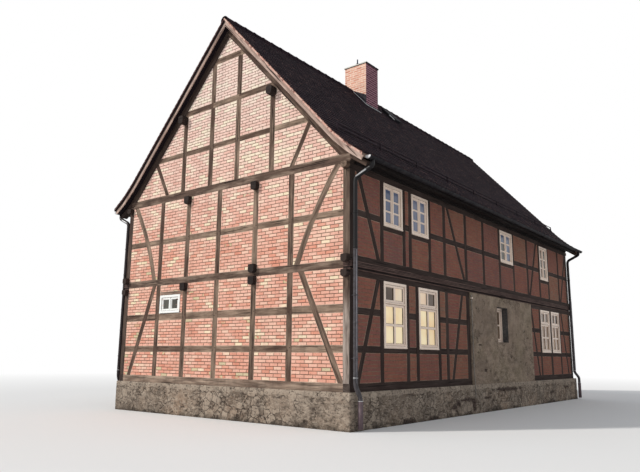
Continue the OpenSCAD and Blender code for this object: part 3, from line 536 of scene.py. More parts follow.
# %% Cracks, coarse sand and scars
def cracks_and_holes(f):
    edge = f.calc("ABSOLUTE", f.minus(f.cloud(f.place, 1.7, 5.0, 0.65), 0.5))
    crack = f.times(f.between(edge, 0.01, 0.003), f.between(f.cloud(f.place, 1.1, 2.0), 0.5, 0.56))
    holes = f.between(f.cloud(f.place, 5.5, 4.0, 0.6), 0.335, 0.315)
    return f.calc("MAXIMUM", f.times(crack, 0.8), f.times(holes, 0.8))


def coarse_sand(f, coat, flat, pale, pebbled, rubble):
    """Dark specks and pale grains, thickest low down."""
    low_down = f.between(f.axis("Z"), 2.2, 0.9, 0.35, 1.0)
    specks = f.between(f.cloud(flat, 24.0, 2.0, 0.5), 0.57, 0.63, 0.0, 0.25 * pebbled + 0.4 * rubble)
    grains = f.between(f.cloud(flat, 18.0, 2.0, 0.5), 0.55, 0.62, 0.0, 0.25 * pebbled + 0.3 * rubble)
    coat = f.stain(coat, specks, low_down, 0.05, 0.038, 0.03)
    return f.mix(f.times(grains, low_down), coat, pale)


def scarred(f, coat):
    """Dark stones where a face's tone says that the coat has come off."""
    stones = {"Vector": f.place, "Scale": SCAR_STONE_SIZE}
    edges = f.add("ShaderNodeTexVoronoi", stones, feature="DISTANCE_TO_EDGE").outputs[0]
    stone = f.mix(f.between(edges, 0.02, 0.1), (0.018, 0.013, 0.011), (0.085, 0.06, 0.05))
    return f.mix(f.attribute("tone"), coat, stone)


# %% Plaster finishes, layer by layer
def plaster_finish(name, fair, warm, dark, pebbled, rubble=0.0):
    """Rough plaster from a fair, a warm and a dark tone. Pebbled and rubble say how much of each."""
    f = Finish(name)
    dirt = f.rained_on()
    fine = f.sandy(9.0)
    flat = f.stretch(f.place, (0.6, 0.6, 1.15))
    pale = f.mix(0.4, fair, (0.62, 0.52, 0.42))
    coat = f.mix(dirt["Patches"], fair, warm)
    coat, pebbles, blotch = pebbly_coat(f, coat, flat, pale, dark, pebbled)
    coat, joint = rubble_through(f, coat, blotch, pale, dark, rubble)
    open_marks = cracks_and_holes(f)
    coat = f.mix(open_marks, coat, (0.035, 0.026, 0.022))
    coat = scarred(f, coarse_sand(f, coat, flat, pale, pebbled, rubble))
    foot = f.plus(f.axis("Z"), f.between(f.cloud(f.place, 3.0, 4.0), 0.3, 0.7, -0.1, 0.1))
    coat = f.mix(f.between(foot, 0.1, -0.02, 0.0, 0.8), coat, (0.04, 0.032, 0.026))
    coat = f.mix(f.times(dirt["Streaks"], 0.1), coat, dark)
    relief = f.plus(f.times(pebbles, 1.6), f.times(fine["Height"], 0.5))
    relief = f.minus(relief, f.times(f.calc("MAXIMUM", open_marks, joint), 1.5))
    return f.close(coat, 0.95, relief, 0.014, 0.9, shine=0.12)


wall_plaster = plaster_finish("wall_plaster", (0.262, 0.196, 0.148), (0.24, 0.19, 0.132),
        (0.12, 0.092, 0.072), 1.0, 0.15)
plinth_render = plaster_finish("plinth_render", (0.262, 0.212, 0.168), (0.285, 0.207, 0.15),
        (0.075, 0.059, 0.048), 1.1, 0.9)
# The deep window's lining gets this dark grey as painted shade in the recess.
shaded_reveal_plaster = plaster_finish("shaded_reveal_plaster", (0.128, 0.138, 0.142), (0.112, 0.116, 0.116),
        (0.07, 0.07, 0.07), 0.3)

# %% [markdown]
# ## Cement, metal, paint and glass
# New metal or paint is even, and weather makes it uneven. A plain colour would look new, so each
# of these finishes mixes two close tones by noise. Zinc goes dull and blue-grey, and the upper
# part of each downpipe was painted black.

# %% Chimney cap: pale on top, painted shade along its foot and on the street side, with a steel rod
f = Finish("cap_cement")
CAP_FOOT, CAP_STREET_FACE, ROD_FOOT = 11.746, -0.58, 11.793
height = f.axis("Z")
skin = f.sandy(9.0)
cement = f.mix(skin["Height"], (0.58, 0.56, 0.5), (0.7, 0.68, 0.62))
shaded_foot = f.between(height, CAP_FOOT + 0.006, CAP_FOOT)
shaded_side = f.between(f.axis("Y"), CAP_STREET_FACE + 0.005, CAP_STREET_FACE)
cement = f.mix(f.calc("MAXIMUM", shaded_foot, shaded_side), cement, (0.022, 0.021, 0.026))
cement = f.mix(f.between(height, ROD_FOOT, ROD_FOOT + 0.003), cement, (0.05, 0.06, 0.085))
cap_cement = f.close(cement, 0.85, skin["Height"], 0.003, 0.5, shine=0.15)


# %% Metal finishes
def sheet_metal(name, fresh, dull, roughness, shine, metallic=0.0):
    f = Finish(name)
    dirt = f.rained_on()
    bloom = f.between(f.cloud(f.place, 9.0, 5.0, 0.65), 0.35, 0.65)
    colour = f.stain(f.mix(bloom, fresh, dull), dirt["Streaks"], 0.4, 0.05, 0.045, 0.045)
    rough = f.between(bloom, 0.0, 1.0, roughness, roughness + 0.2)
    return f.close(colour, rough, f.cloud(f.place, 30.0, 3.0), 0.0015, 0.3, shine, Metallic=metallic)


gutter_zinc = sheet_metal("gutter_zinc", (0.019, 0.017, 0.02), (0.011, 0.01, 0.012), 0.55, 0.1)
# Besides bright zinc parts, this finish colours the painted highlights on the near pipes' bend and the hatch
# lid.
bright_zinc_and_highlight = sheet_metal("bright_zinc_and_highlight", (0.62, 0.62, 0.63), (0.44, 0.44, 0.45), 0.4, 0.5, 0.2)
flashing_lead = sheet_metal("flashing_lead", (0.045, 0.042, 0.05), (0.028, 0.025, 0.032),
        0.7, 0.12)
hatch_zinc = sheet_metal("hatch_zinc", (0.022, 0.022, 0.026), (0.014, 0.014, 0.017), 0.7, 0.1)
guard_steel = sheet_metal("guard_steel", (0.034, 0.024, 0.03), (0.024, 0.017, 0.022), 0.7, 0.05)
pale_conduit = sheet_metal("pale_conduit", (0.34, 0.31, 0.28), (0.18, 0.16, 0.14), 0.6, 0.2)
# A pale seam on each downpipe carries a painted highlight.
seam_painted_highlight = sheet_metal("seam_painted_highlight", (0.3, 0.29, 0.33), (0.16, 0.155, 0.18), 0.45, 0.3)
stand_pipe = sheet_metal("stand_pipe", (0.14, 0.098, 0.11), (0.09, 0.062, 0.07), 0.5, 0.3)

# %% Downpipe finish: black above, blue-grey zinc below, plain brown on the back
f = Finish("downpipe")
PAINTED_FROM = 3.88
bloom = f.between(f.cloud(f.place, 12.0, 4.0), 0.35, 0.65)
zinc = f.mix(bloom, (0.08, 0.073, 0.08), (0.042, 0.038, 0.041))
painted = f.between(f.axis("Z"), PAINTED_FROM, PAINTED_FROM + 0.02)
colour = f.mix(painted, zinc, (0.008, 0.007, 0.008))
colour = f.mix(f.between(f.axis("Y"), 0.0, 0.1), colour, (0.022, 0.014, 0.015))
downpipe = f.close(colour, f.between(bloom, 0, 1, 0.3, 0.5), f.cloud(f.place, 40.0, 2.0), 0.001, 0.3, 0.22)

# %% Window paint: warm white on the long walls, colder on the gables, flaked where rain runs
f = Finish("window_paint")
GABLE_FROM = 7.6
dirt = f.rained_on()
flakes = f.between(f.cloud(f.place, 26.0, 6.0, 0.75), 0.66, 0.7)
worn = f.between(f.cloud(f.place, 6.0, 4.0), 0.3, 0.7, 0.0, 0.5)
paint = f.mix(worn, (0.88, 0.72, 0.6), (0.74, 0.58, 0.48))
on_gable = f.between(f.calc("ABSOLUTE", f.axis("X")), GABLE_FROM, GABLE_FROM + 0.02)
paint = f.mix(on_gable, paint, (0.84, 0.85, 0.82))
paint = f.stain(paint, dirt["Streaks"], 0.22, 0.42, 0.33, 0.27)
paint = f.stain(paint, flakes, 0.5, 0.3, 0.23, 0.17)
window_paint = f.close(paint, f.between(flakes, 0, 1, 0.42, 0.8), f.times(flakes, -1.0), 0.001, 0.5)


# %% Window panes, coloured with painted reflections, some with a painted glow
def pane_finish(name, deep, milky, glow=0.0):
    """Old window glass: painted colours for what it reflects and shows behind it, faint dust,
    a wavy surface, and a painted glow where one is given.
    """
    f = Finish(name)
    dust = f.between(f.cloud(f.place, 1.6, 2.0, 0.4), 0.35, 0.65)
    pane_colour = f.mix(dust, deep, milky)
    finish = f.close(pane_colour, f.between(dust, 0, 1, 0.05, 0.14), f.cloud(f.place, 5.0, 1.0), 0.004, 0.25,
            shine=0.35, IOR=1.45)
    # A glow makes the pane shine in its own colour though it is no lamp: painted light.
    if glow:
        f.tree.links.new(pane_colour, f.shader.inputs["Emission Color"])
        f.shader.inputs["Emission Strength"].default_value = glow
    return finish


# Painted reflections: sky_pane stands for the sky, warm_pane and pale_pane for the sunlit street, and these
# two and amber_pane also get a painted glow.
sky_pane = pane_finish("sky_pane", (0.085, 0.115, 0.195), (0.17, 0.19, 0.27))
warm_pane = pane_finish("warm_pane", (0.86, 0.6, 0.31), (0.96, 0.8, 0.5), 0.25)
pale_pane = pane_finish("pale_pane", (0.84, 0.61, 0.42), (0.88, 0.72, 0.52), 0.18)
amber_pane = pane_finish("amber_pane", (0.24, 0.14, 0.085), (0.46, 0.29, 0.17), 0.05)
dim_pane = pane_finish("dim_pane", (0.08, 0.048, 0.032), (0.17, 0.115, 0.078))
umber_pane = pane_finish("umber_pane", (0.17, 0.12, 0.09), (0.28, 0.205, 0.16))
grey_pane = pane_finish("grey_pane", (0.04, 0.04, 0.032), (0.085, 0.083, 0.066))

# %% Painted shade: dark strips round casements and along panes
f = Finish("painted_gap_shade")
shadow = f.mix(f.cloud(f.place, 20.0, 3.0), (0.012, 0.01, 0.009), (0.04, 0.03, 0.026))
painted_gap_shade = f.close(shadow, 0.95, f.cloud(f.place, 60.0, 2.0), 0.001, 0.3, shine=0.05)
print("finishes:", ", ".join(sorted(Finish.made)))

# %% [markdown]
# ## Walls as drawings
# Every wall is flat, so its timbers and bricks are set out on a drawing: u runs along the wall
# from the near or front corner, z is the height, and d goes into the wall from the timber face.
# A wall could be modelled lying flat and then turned. A function that gives the point in the
# house for a point on a drawing saves all turning.

# %% Wall drawings
LENGTH, WIDTH = 15.38, 8.26
DRAWINGS = {
    "front": lambda u, z, d: (u - LENGTH / 2, d - WIDTH / 2, z),
    "back": lambda u, z, d: (u - LENGTH / 2, WIDTH / 2 - d, z),
    "near": lambda u, z, d: (d - LENGTH / 2, u - WIDTH / 2, z),
    "far": lambda u, z, d: (LENGTH / 2 - d, u - WIDTH / 2, z),
}
FLIPPED = {"front": False, "back": True, "near": True, "far": False}


def on_wall(wall, u, z, d):
    """The point in the house for a point on a wall's drawing."""
    return DRAWINGS[wall](u, z, d)


# %% Small drawing helpers
def part_way(a, c, t):
    """The point a part t of the way from one point to another."""
    return (a[0] + (c[0] - a[0]) * t, a[1] + (c[1] - a[1]) * t)


def sides_of(loop):
    """Each side of a closed outline, as its two ends."""
    return zip(loop, loop[1:] + loop[:1])


def box_outline(u0, u1, z0, z1, inset=0.0):
    """The corners of an upright rectangle, moved inwards by an inset."""
    return [(u0 + inset, z0 + inset), (u1 - inset, z0 + inset),
            (u1 - inset, z1 - inset), (u0 + inset, z1 - inset)]


# %% Stock: what a piece is made from
class Stock:
    """Collects corners and faces, with a tone and marks for each face."""

    def __init__(self):
        self.points, self.grain, self.faces = [], [], []
        self.marks = {"tone": [], "sun": [], "end_grain": [], "finish": []}

    def corners(self, points, grain=None):
        first = len(self.points)
        self.points += points
        self.grain += grain or [(0, 0, 0)] * len(points)
        return first

    def face(self, indices, tone=0.5, sun=0.0, end=0.0, finish=0):
        self.faces.append(indices)
        for name, value in zip(self.marks, (tone, sun, end, finish)):
            self.marks[name].append(value)

    def cap(self, first, count, **marks):
        self.face(list(range(first, first + count)), **marks)

    def loft(self, rings, count, ends=True, **marks):
        """Faces from ring to ring of corners, and a cap at both ends where they are wanted."""
        for a, c in zip(rings, rings[1:]):
            for k in range(count):
                n = (k + 1) % count
                self.face([a + k, a + n, c + n, c + k], **marks)
        if ends:
            self.cap(rings[0], count, **marks)
            self.cap(rings[-1], count, **marks)


# %% From stock to piece
def make_piece(name, stock, finishes, nodes=(), closed=True, smooth=False):
    """Builds one piece of the house, rides it on the root body and hides the CAD pieces that it
    stands for.
    """
    mesh = bpy.data.meshes.new(name)
    mesh.from_pydata(stock.points, [], stock.faces)
    for label in ("tone", "sun", "end_grain"):
        mesh.attributes.new(label, "FLOAT", "FACE").data.foreach_set("value", stock.marks[label])
    flat = [number for vector in stock.grain for number in vector]
    mesh.attributes.new("grain", "FLOAT_VECTOR", "POINT").data.foreach_set("vector", flat)
    for finish in finishes:
        mesh.materials.append(finish)
    mesh.polygons.foreach_set("material_index", stock.marks["finish"])
    mesh.polygons.foreach_set("use_smooth", [smooth] * len(mesh.polygons))
    if closed:
        solid = bmesh.new()
        solid.from_mesh(mesh)
        bmesh.ops.recalc_face_normals(solid, faces=solid.faces)
        solid.to_mesh(mesh)
        solid.free()
    mesh.update()
    piece = bpy.data.objects.new(name, mesh)
    bpy.context.scene.collection.objects.link(piece)
    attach(piece, "root")
    if nodes:
        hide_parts(*nodes)
    print(f"{name}: {len(stock.faces)} faces")
    return piece


# %% [markdown]
# ## Laying a timber
# A squared timber was hewn or sawn, so its edges wander by a few millimetres and its arrises are
# worn. A bevelled box would be too straight. Each timber is built as rings of six corners along
# its line, with its own grain. Posts lie flush, braces a few millimetres deeper and rails deeper
# still, as in the photograph.

# %% Timber
wood_luck = random.Random(11)
FLUSH, BRACE_DEPTH, RAIL_DEPTH = 0.0, 0.0035, 0.006
TIMBER_DEPTH, RING_STEP, WANDER = 0.18, 0.24, 0.003
SNUG = 0.003  # added on each side, so that no slit opens beside a timber


def spread(line, step):
    """Points along a line of (u, z), with the distance walked, no further apart than step."""
    out, walked = [], 0.0
    for a, c in zip(line, line[1:]):
        run = math.hypot(c[0] - a[0], c[1] - a[1])
        parts = max(1, round(run / step))
        for i in range(parts):
            out.append((*part_way(a, c, i / parts), walked + run * (i / parts)))
        walked += run
    out.append((*line[-1], walked))
    return out


def lay_timber(stock, wall, line, width, face=FLUSH, sun=0.75):
    """One timber along a centre line on a wall's drawing. Sun, its painted-light mark, counts on the
    gables only.
    """
    tone, seed = wood_luck.random(), wood_luck.uniform(0, 60)
    start = wood_luck.uniform(0, 40)
    stops = spread(line, RING_STEP)
    rings = []
    for i, (u, z, along) in enumerate(stops):
        before, after = stops[max(0, i - 1)], stops[min(len(stops) - 1, i + 1)]
        du, dz = after[0] - before[0], after[1] - before[1]
        run = math.hypot(du, dz)
        nu, nz = -dz / run, du / run
        left = width / 2 + SNUG + wood_luck.uniform(-WANDER, WANDER)
        right = width / 2 + SNUG + wood_luck.uniform(-WANDER, WANDER)
        front = face + wood_luck.uniform(0, WANDER * 0.5)
        worn = wood_luck.uniform(0.004, 0.01)
        # Each corner has its place across, its depth, and where it lies in the grain.
        shape = [(-left + worn, front, 0), (right - worn, front, width),
                 (right, front + worn, width + 0.01), (right, TIMBER_DEPTH, width + 0.19),
                 (-left, TIMBER_DEPTH, -0.19), (-left, front + worn, -0.01)]
        points = [on_wall(wall, u + nu * n, z + nz * n, d) for n, d, _ in shape]
        grain = [(start + along, across + seed, seed) for _, _, across in shape]
        rings.append(stock.corners(points, grain))
    sun = sun if wall in ("near", "far") else 0.0
    stock.loft(rings, 6, ends=False, tone=tone, sun=sun)
    stock.cap(rings[0], 6, tone=tone, sun=sun, end=1.0)
    stock.cap(rings[-1], 6, tone=tone, sun=sun, end=1.0)


# %% Posts, beams, rails and braces from their drawing sizes
def lay_post(stock, wall, left, width, low, high):
    middle = left + width / 2
    lay_timber(stock, wall, [(middle, low), (middle, high)], width)


def lay_beam(stock, wall, start, stop, low, height, sun=1.1, face=FLUSH):
    middle = low + height / 2
    lay_timber(stock, wall, [(start, middle), (stop, middle)], height, face=face, sun=sun)


def lay_rail(stock, wall, start, stop, low, height, posts, windows=()):
    """A row of short rails between posts, left out where windows stand in the way."""
    cuts = sorted({start, stop, *[p for p in posts if start < p < stop]})
    for a, c in zip(cuts, cuts[1:]):
        spans = [(a, c)]
        for left, width, foot, tall in windows:
            beside = left >= c or left + width <= a
            if not beside and foot + 0.06 < low + height and foot + tall > low:
                spans = [(a, left), (left + width, c)]
        for s, e in spans:
            if e - s > 0.05:
                lay_beam(stock, wall, s, e, low, height, sun=0.95, face=RAIL_DEPTH)


def lay_brace(stock, wall, foot, head, width=0.15, belly=0.0):
    """A brace between two points, bowed sideways by its belly."""
    du, dz = head[0] - foot[0], head[1] - foot[1]
    run = math.hypot(du, dz)
    steps = 8 if belly else 1
    line = []
    for i in range(steps + 1):
        t = i / steps
        off = belly * 4 * t * (1 - t)
        line.append((foot[0] + du * t - dz / run * off, foot[1] + dz * t + du / run * off))
    lay_timber(stock, wall, line, width, face=BRACE_DEPTH)


# %% [markdown]
# ## The long walls
# A long wall is two storeys of posts between sills and plates, with rails, braces and a jamb post
# at each window. Front and back could be modelled apart, but one carpenter's rule set out both,
# so they share a function for each storey. The front has a stretch of plastered masonry in its
# ground storey, and the back runs on in timber.

# %% Heights and windows of the long walls
PLINTH, SILL, PLATE, STOREY = 0.8, 0.98, 3.31, 3.44
UPPER_SILL, UPPER, EAVES_PLATE, TIE, ATTIC = 3.65, 3.78, 5.73, 5.9, 6.11
LOW_RAIL, MID_RAIL, UPPER_RAIL, RAIL = 1.635, 2.47, 4.69, 0.155
POST, JAMB, CORNER, BEAM, SLIM_BEAM = 0.165, 0.15, 0.21, 0.18, 0.13
MASONRY_FROM, MASONRY_TO = 5.99, 10.93
# A window is (left, width, low, height). A brace is where its head and its foot stand along the wall.
upper_windows = [(1.395, 0.87, 4.645, 1.07), (2.725, 0.87, 4.65, 1.065),
        (8.465, 1.035, 4.645, 1.07), (12.17, 0.815, 4.44, 1.27)]
ground_windows = [(1.365, 1.025, 1.745, 1.565), (3.012, 1.012, 1.745, 1.565),
        (11.945, 0.95, 1.77, 1.54), (13.09, 0.9, 1.77, 1.54)]
deep_window = (7.91, 0.85, 2.045, 1.1)
upper_posts = [4.445, 5.79, 7.04, 10.795, 14.17]
upper_braces = [(0.3, 1.18), (4.69, 5.74), (LENGTH - 3.5, LENGTH - 4.37), (LENGTH - 0.15, LENGTH - 0.99)]
UPPER_BRACE_HEAD, UPPER_BRACE_FOOT = 5.81, 3.72
GROUND_BRACE_HEAD, GROUND_BRACE_FOOT = 3.41, 0.94


def jambs_of(windows):
    """Posts (left, width) beside each window, with a single post between two close windows."""
    posts = [(windows[0][0] - JAMB, JAMB)]
    for w, following in zip(windows, windows[1:]):
        right = w[0] + w[1]
        if following[0] - right < 2 * JAMB:
            posts.append((right, following[0] - right))
        else:
            posts += [(right, JAMB), (following[0] - JAMB, JAMB)]
    return posts + [(windows[-1][0] + windows[-1][1], JAMB)]


def lay_posts(stock, wall, low, high, corners, posts, jambs):
    """All posts of a storey. Gives the middles of those that its rails run between."""
    for left, width in [(c, CORNER) for c in corners] + [(p, POST) for p in posts] + jambs:
        lay_post(stock, wall, left, width, low, high)
    return [p + POST / 2 for p in posts] + [left + width / 2 for left, width in jambs]


# %% Upper storey of a long wall
def frame_upper_storey(stock, wall):
    lay_beam(stock, wall, 0, LENGTH, UPPER_SILL, SLIM_BEAM)
    lay_beam(stock, wall, 0, LENGTH, EAVES_PLATE, TIE - EAVES_PLATE)
    stops = lay_posts(stock, wall, UPPER, EAVES_PLATE, (0, LENGTH - CORNER), upper_posts,
            jambs_of(upper_windows))
    lay_rail(stock, wall, CORNER / 2, LENGTH - CORNER / 2, UPPER_RAIL, RAIL, stops, upper_windows)
    for left, width, low, height in upper_windows:
        right, top = left + width, low + height
        lay_beam(stock, wall, left, right, low - 0.115, 0.115, face=RAIL_DEPTH)
        lay_beam(stock, wall, left, right, top, EAVES_PLATE - top + 0.01, face=RAIL_DEPTH)
    for head, foot in upper_braces:
        lay_brace(stock, wall, (foot, UPPER_BRACE_FOOT), (head, UPPER_BRACE_HEAD))


# %% Ground storey of a long wall, between two ends
def frame_ground_storey(stock, wall, start, stop, windows, posts, corners, braces):
    lay_beam(stock, wall, start, stop, PLINTH, BEAM)
    lay_beam(stock, wall, start, stop, PLATE, STOREY - PLATE)
    stops = lay_posts(stock, wall, SILL, PLATE, corners, posts, jambs_of(windows))
    for low in (LOW_RAIL, MID_RAIL):
        lay_rail(stock, wall, start, stop, low, RAIL, stops, windows)
    for head, foot in braces:
        lay_brace(stock, wall, (foot, GROUND_BRACE_FOOT), (head, GROUND_BRACE_HEAD))


# %% Beam ends that stand out of the gables
END_SIZE, END_CUT, END_EASE = 0.18, 0.045, 0.02
END_RINGS = ((-0.02, 1.0), (0.108, 0.985), (0.12, 0.93))  # how far out, and how large


def beam_end_section(low, height, side):
    """Corners (y, z) of a beam's section at the front or back wall, with its edges cut off."""
    y = -WIDTH / 2 if side == "front" else WIDTH / 2 - END_SIZE
    right, top = END_SIZE, height
    shape = [(END_CUT, 0), (right - END_CUT, 0), (right, END_CUT), (right, top - END_EASE),
             (right - END_EASE, top), (END_EASE, top), (0, top - END_EASE), (0, END_CUT)]
    return [(y + a, low + c) for a, c in shape]


def lay_beam_end(stock, side, gable, low, height, sun=0.0):
    tone, seed = wood_luck.random(), wood_luck.uniform(0, 60)
    out = -1 if gable == "near" else 1
    section = beam_end_section(low, height, side)
    cy = sum(p[0] for p in section) / 8
    cz = sum(p[1] for p in section) / 8
    rings = []
    for reach, size in END_RINGS:
        x = out * LENGTH / 2 + out * reach
        points = [(x, cy + (y - cy) * size, cz + (z - cz) * size) for y, z in section]
        rings.append(stock.corners(points, [(reach + seed, k * 0.06, seed) for k in range(8)]))
    stock.loft(rings, 8, ends=False, tone=0.2, sun=sun)
    stock.cap(rings[0], 8, tone=tone)
    # The end face is dark end grain, and darker still where its painted sun is low, as painted shade.
    stock.cap(rings[-1], 8, tone=tone, sun=sun, end=0.9 - sun)


# %% Front and back frames
front = Stock()
frame_upper_storey(front, "front")
frame_ground_storey(front, "front", 0, MASONRY_FROM, ground_windows[:2], [4.48],
        [0, MASONRY_FROM - CORNER], [(1.18, 0.29), (5.56, 4.84)])
frame_ground_storey(front, "front", MASONRY_TO, LENGTH, ground_windows[2:], [], [LENGTH - CORNER],
        [(MASONRY_TO + 0.08, MASONRY_TO + 0.69), (LENGTH - 1.09, LENGTH - 0.5)])
back = Stock()
frame_upper_storey(back, "back")
frame_ground_storey(back, "back", 0, LENGTH, ground_windows, [4.48, 5.79, 7.04, 8.31, 9.55, 10.795],
        [0, LENGTH - CORNER], [(1.18, 0.29), (5.74, 4.84), (LENGTH - 4.37, LENGTH - 3.76),
        (LENGTH - 0.99, LENGTH - 0.4)])
for stock, side in ((front, "front"), (back, "back")):
    for gable in ("near", "far"):
        lay_beam_end(stock, side, gable, 3.27, 0.17)
        lay_beam_end(stock, side, gable, 3.6, 0.18)
        # The front eaves plates' ends get painted sun, the back ones painted shade.
        lay_beam_end(stock, side, gable, 5.75, 0.15, 0.8 if side == "front" else 0.0)


# %% The corner posts' gable faces, and the two pieces
def sun_the_ends(stock, mark):
    """Marks the faces of a long wall's timbers that lie in a gable's plane."""
    for i, face in enumerate(stock.faces):
        middle = sum(stock.points[k][0] for k in face) / len(face)
        if abs(abs(middle) - LENGTH / 2) < 0.006:
            stock.marks["sun"][i] = mark


# The front corner posts' gable faces get painted sun and silver, the back ones mostly painted shade.
sun_the_ends(front, 1.6)
sun_the_ends(back, 0.2)
make_piece("front_timbers", front, [old_timber],
           ["front_frame_ground_near", "front_frame_ground_far", "front_frame_upper"])
make_piece("back_timbers", back, [old_timber], ["back_frame_ground", "back_frame_upper"])

# %% [markdown]
# ## The gables
# A gable has rails, posts and long bowed braces up to its tie beam, and above it the outermost
# rafters with collars and short posts. The far gable could be a mirrored copy, but then every
# worn edge would come twice, so both are laid piece by piece.

# %% Gable frames
gable_window = (5.705, 0.855, 2.69, 0.5)
gable_posts = [1.739, 2.926, 4.273, 5.517, 6.67]
GABLE_STOREY, GABLE_UPPER, GABLE_MID_RAIL, GABLE_UPPER_RAIL = 3.48, 3.66, 2.5, 4.66
# Each brace has its foot, its head, its width and its belly.
gable_braces = [((WIDTH - 1.38, 3.58), (WIDTH - 0.3, 5.9), 0.17, 0.11),
                ((1.56, 3.58), (0.3, 5.9), 0.17, -0.09),
                ((WIDTH - 0.4, 0.92), (WIDTH - 1.42, 3.54), 0.156, 0),
                ((0.21, 0.92), (1.43, 3.54), 0.156, 0)]


def frame_gable(stock, wall):
    near, far = BEAM, WIDTH - BEAM
    for low in (PLINTH, GABLE_STOREY):
        lay_beam(stock, wall, near, far, low, BEAM)
    for middle in gable_posts:
        lay_post(stock, wall, middle - POST / 2, POST, SILL, GABLE_STOREY)
        lay_post(stock, wall, middle - POST / 2, POST, GABLE_UPPER, TIE)
    for low, height in ((LOW_RAIL, RAIL), (GABLE_MID_RAIL, BEAM), (GABLE_UPPER_RAIL, RAIL)):
        lay_rail(stock, wall, near, far, low, height, gable_posts, [gable_window])
    for foot, head, width, belly in gable_braces:
        lay_brace(stock, wall, foot, head, width, belly)
    left, width, low, height = gable_window
    lay_beam(stock, wall, left - 0.105, left + width, low + height, 0.095, face=RAIL_DEPTH)


# %% Rafters of the gable trusses
ROOF_PITCH = math.radians(47.6)
SLOPE = math.tan(ROOF_PITCH)
ROOF_SLAB, RAFTER = 0.1, 0.21
RIDGE = ATTIC + 0.01 + WIDTH / 2 * SLOPE + ROOF_SLAB / math.cos(ROOF_PITCH)
TRUSS_POST, COLLAR = 2.43, 8.335
truss_middles = (3.676, 4.699)
truss_rails = ((7.135, 0.145), (COLLAR, 0.165), (9.625, 0.165))


def rafter_line(u):
    """Height of the rafters' underside at a place across the gable."""
    return RIDGE - (ROOF_SLAB + RAFTER) / math.cos(ROOF_PITCH) - SLOPE * abs(WIDTH / 2 - u)


def reach_at(z):
    """How far in from the wall's edge the rafters' underside passes a height."""
    return WIDTH / 2 - (rafter_line(WIDTH / 2) - z) / SLOPE


def frame_truss_side(stock, wall, side, lit, foot_lit):
    """A rafter, its flared foot, a post and a brace. Side turns a place over for the far side."""
    peak = rafter_line(WIDTH / 2) + RAFTER / 2 / math.cos(ROOF_PITCH) - 0.012
    line = [(side(-0.02), ATTIC - 0.175), (side(WIDTH / 2), peak)]
    lay_timber(stock, wall, line, 0.24, face=0.0005, sun=lit)
    flared = [(side(0.42), 6.44), (side(-0.03), 6.04), (side(-0.46), 5.76)]
    lay_timber(stock, wall, flared, 0.12, face=0.004, sun=foot_lit)
    lay_post(stock, wall, side(TRUSS_POST) - POST / 2, POST, ATTIC, COLLAR)
    lay_brace(stock, wall, (side(1.76), ATTIC - 0.03), (side(1.15), 7.195), 0.13)


# %% Gable trusses, and the two pieces
def frame_truss(stock, wall):
    lay_beam(stock, wall, 0.0, WIDTH, TIE, ATTIC - TIE)
    # The front rafter and its foot get more painted sun. The back ones get painted shade, as under the
    # verge's overhang.
    frame_truss_side(stock, wall, lambda u: u, 0.6, 0.4)
    frame_truss_side(stock, wall, lambda u: WIDTH - u, 0.2, 0.0)
    for low, height in truss_rails:
        inset = reach_at(low + height / 2) - 0.07
        lay_rail(stock, wall, inset, WIDTH - inset, low, height,
                 [TRUSS_POST, *truss_middles, WIDTH - TRUSS_POST])
    for middle in truss_middles:
        for low, high in ((ATTIC, COLLAR), (8.5, 9.625)):
            lay_post(stock, wall, middle - POST / 2, POST, low, high)


for wall in ("near", "far"):
    stock = Stock()
    frame_gable(stock, wall)
    frame_truss(stock, wall)
    make_piece(f"{wall}_gable_timbers", stock, [old_timber],
               [f"{wall}_gable_frame", f"{wall}_gable_truss"])

# %% [markdown]
# ## Laying bricks
# A panel is whatever the timbers leave open, so its outline comes from the CAD plate that fills
# it. The mason starts on the rail, lays running bond up to the next timber and cuts bricks at the
# ends. An Array modifier would lay whole bricks only. Here every brick's rectangle is kept where
# it lies inside the panel, then raised a few millimetres from the mortar.

# %% Panel outlines from the CAD plates
def outer_sides(node, wall):
    """For each corner of a plate's outward faces, where its outer sides go next."""
    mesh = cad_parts[node].data
    across = 1 if wall in ("front", "back") else 0
    outward = 1 if wall in ("back", "far") else -1
    along, half = 1 - across, (LENGTH if across else WIDTH) / 2
    drawn = {}
    for face in mesh.polygons:
        if face.normal[across] * outward < 0.99:
            continue
        places = [mesh.vertices[v].co for v in face.vertices]
        spots = [(round(place[along] + half, 4), round(place[2], 4)) for place in places]
        if len(set(spots)) > 2:
            drawn.update(dict.fromkeys(sides_of(spots)))
    onward = {}
    for a, c in drawn:
        if (c, a) not in drawn:
            onward.setdefault(a, []).append(c)
    return onward


def panel_outlines(node, wall):
    """Outlines of a plate's outward faces, as loops of (u, z)."""
    onward = outer_sides(node, wall)
    loops = []
    while onward:
        loop, here = [], next(iter(onward))
        while here in onward:
            loop.append(here)
            following = onward[here].pop()
            if not onward[here]:
                del onward[here]
            here = following
        loops.append(loop)
    return [counter_clockwise(loop) for loop in loops if len(loop) > 2]


def counter_clockwise(loop):
    area = sum(a[0] * c[1] - c[0] * a[1] for a, c in sides_of(loop))
    return loop if area > 0 else loop[::-1]


# %% Shrinking and cutting outlines
def shrink(loop, gap):
    """The outline moved inwards by a gap."""
    kept = []
    for i, p in enumerate(loop):
        a, c = loop[i - 1], loop[(i + 1) % len(loop)]
        turn = (p[0] - a[0]) * (c[1] - p[1]) - (p[1] - a[1]) * (c[0] - p[0])
        if abs(turn) > 1e-5:
            kept.append(p)
    out = []
    for i, p in enumerate(kept):
        a, c = kept[i - 1], kept[(i + 1) % len(kept)]
        e, g = (Vector(p) - Vector(a)).normalized(), (Vector(c) - Vector(p)).normalized()
        n, m = Vector((-e.y, e.x)), Vector((-g.y, g.x))
        corner = (n + m) * gap / max(0.25, 1 + n.dot(m))
        out.append((p[0] + corner.x, p[1] + corner.y))
    return out


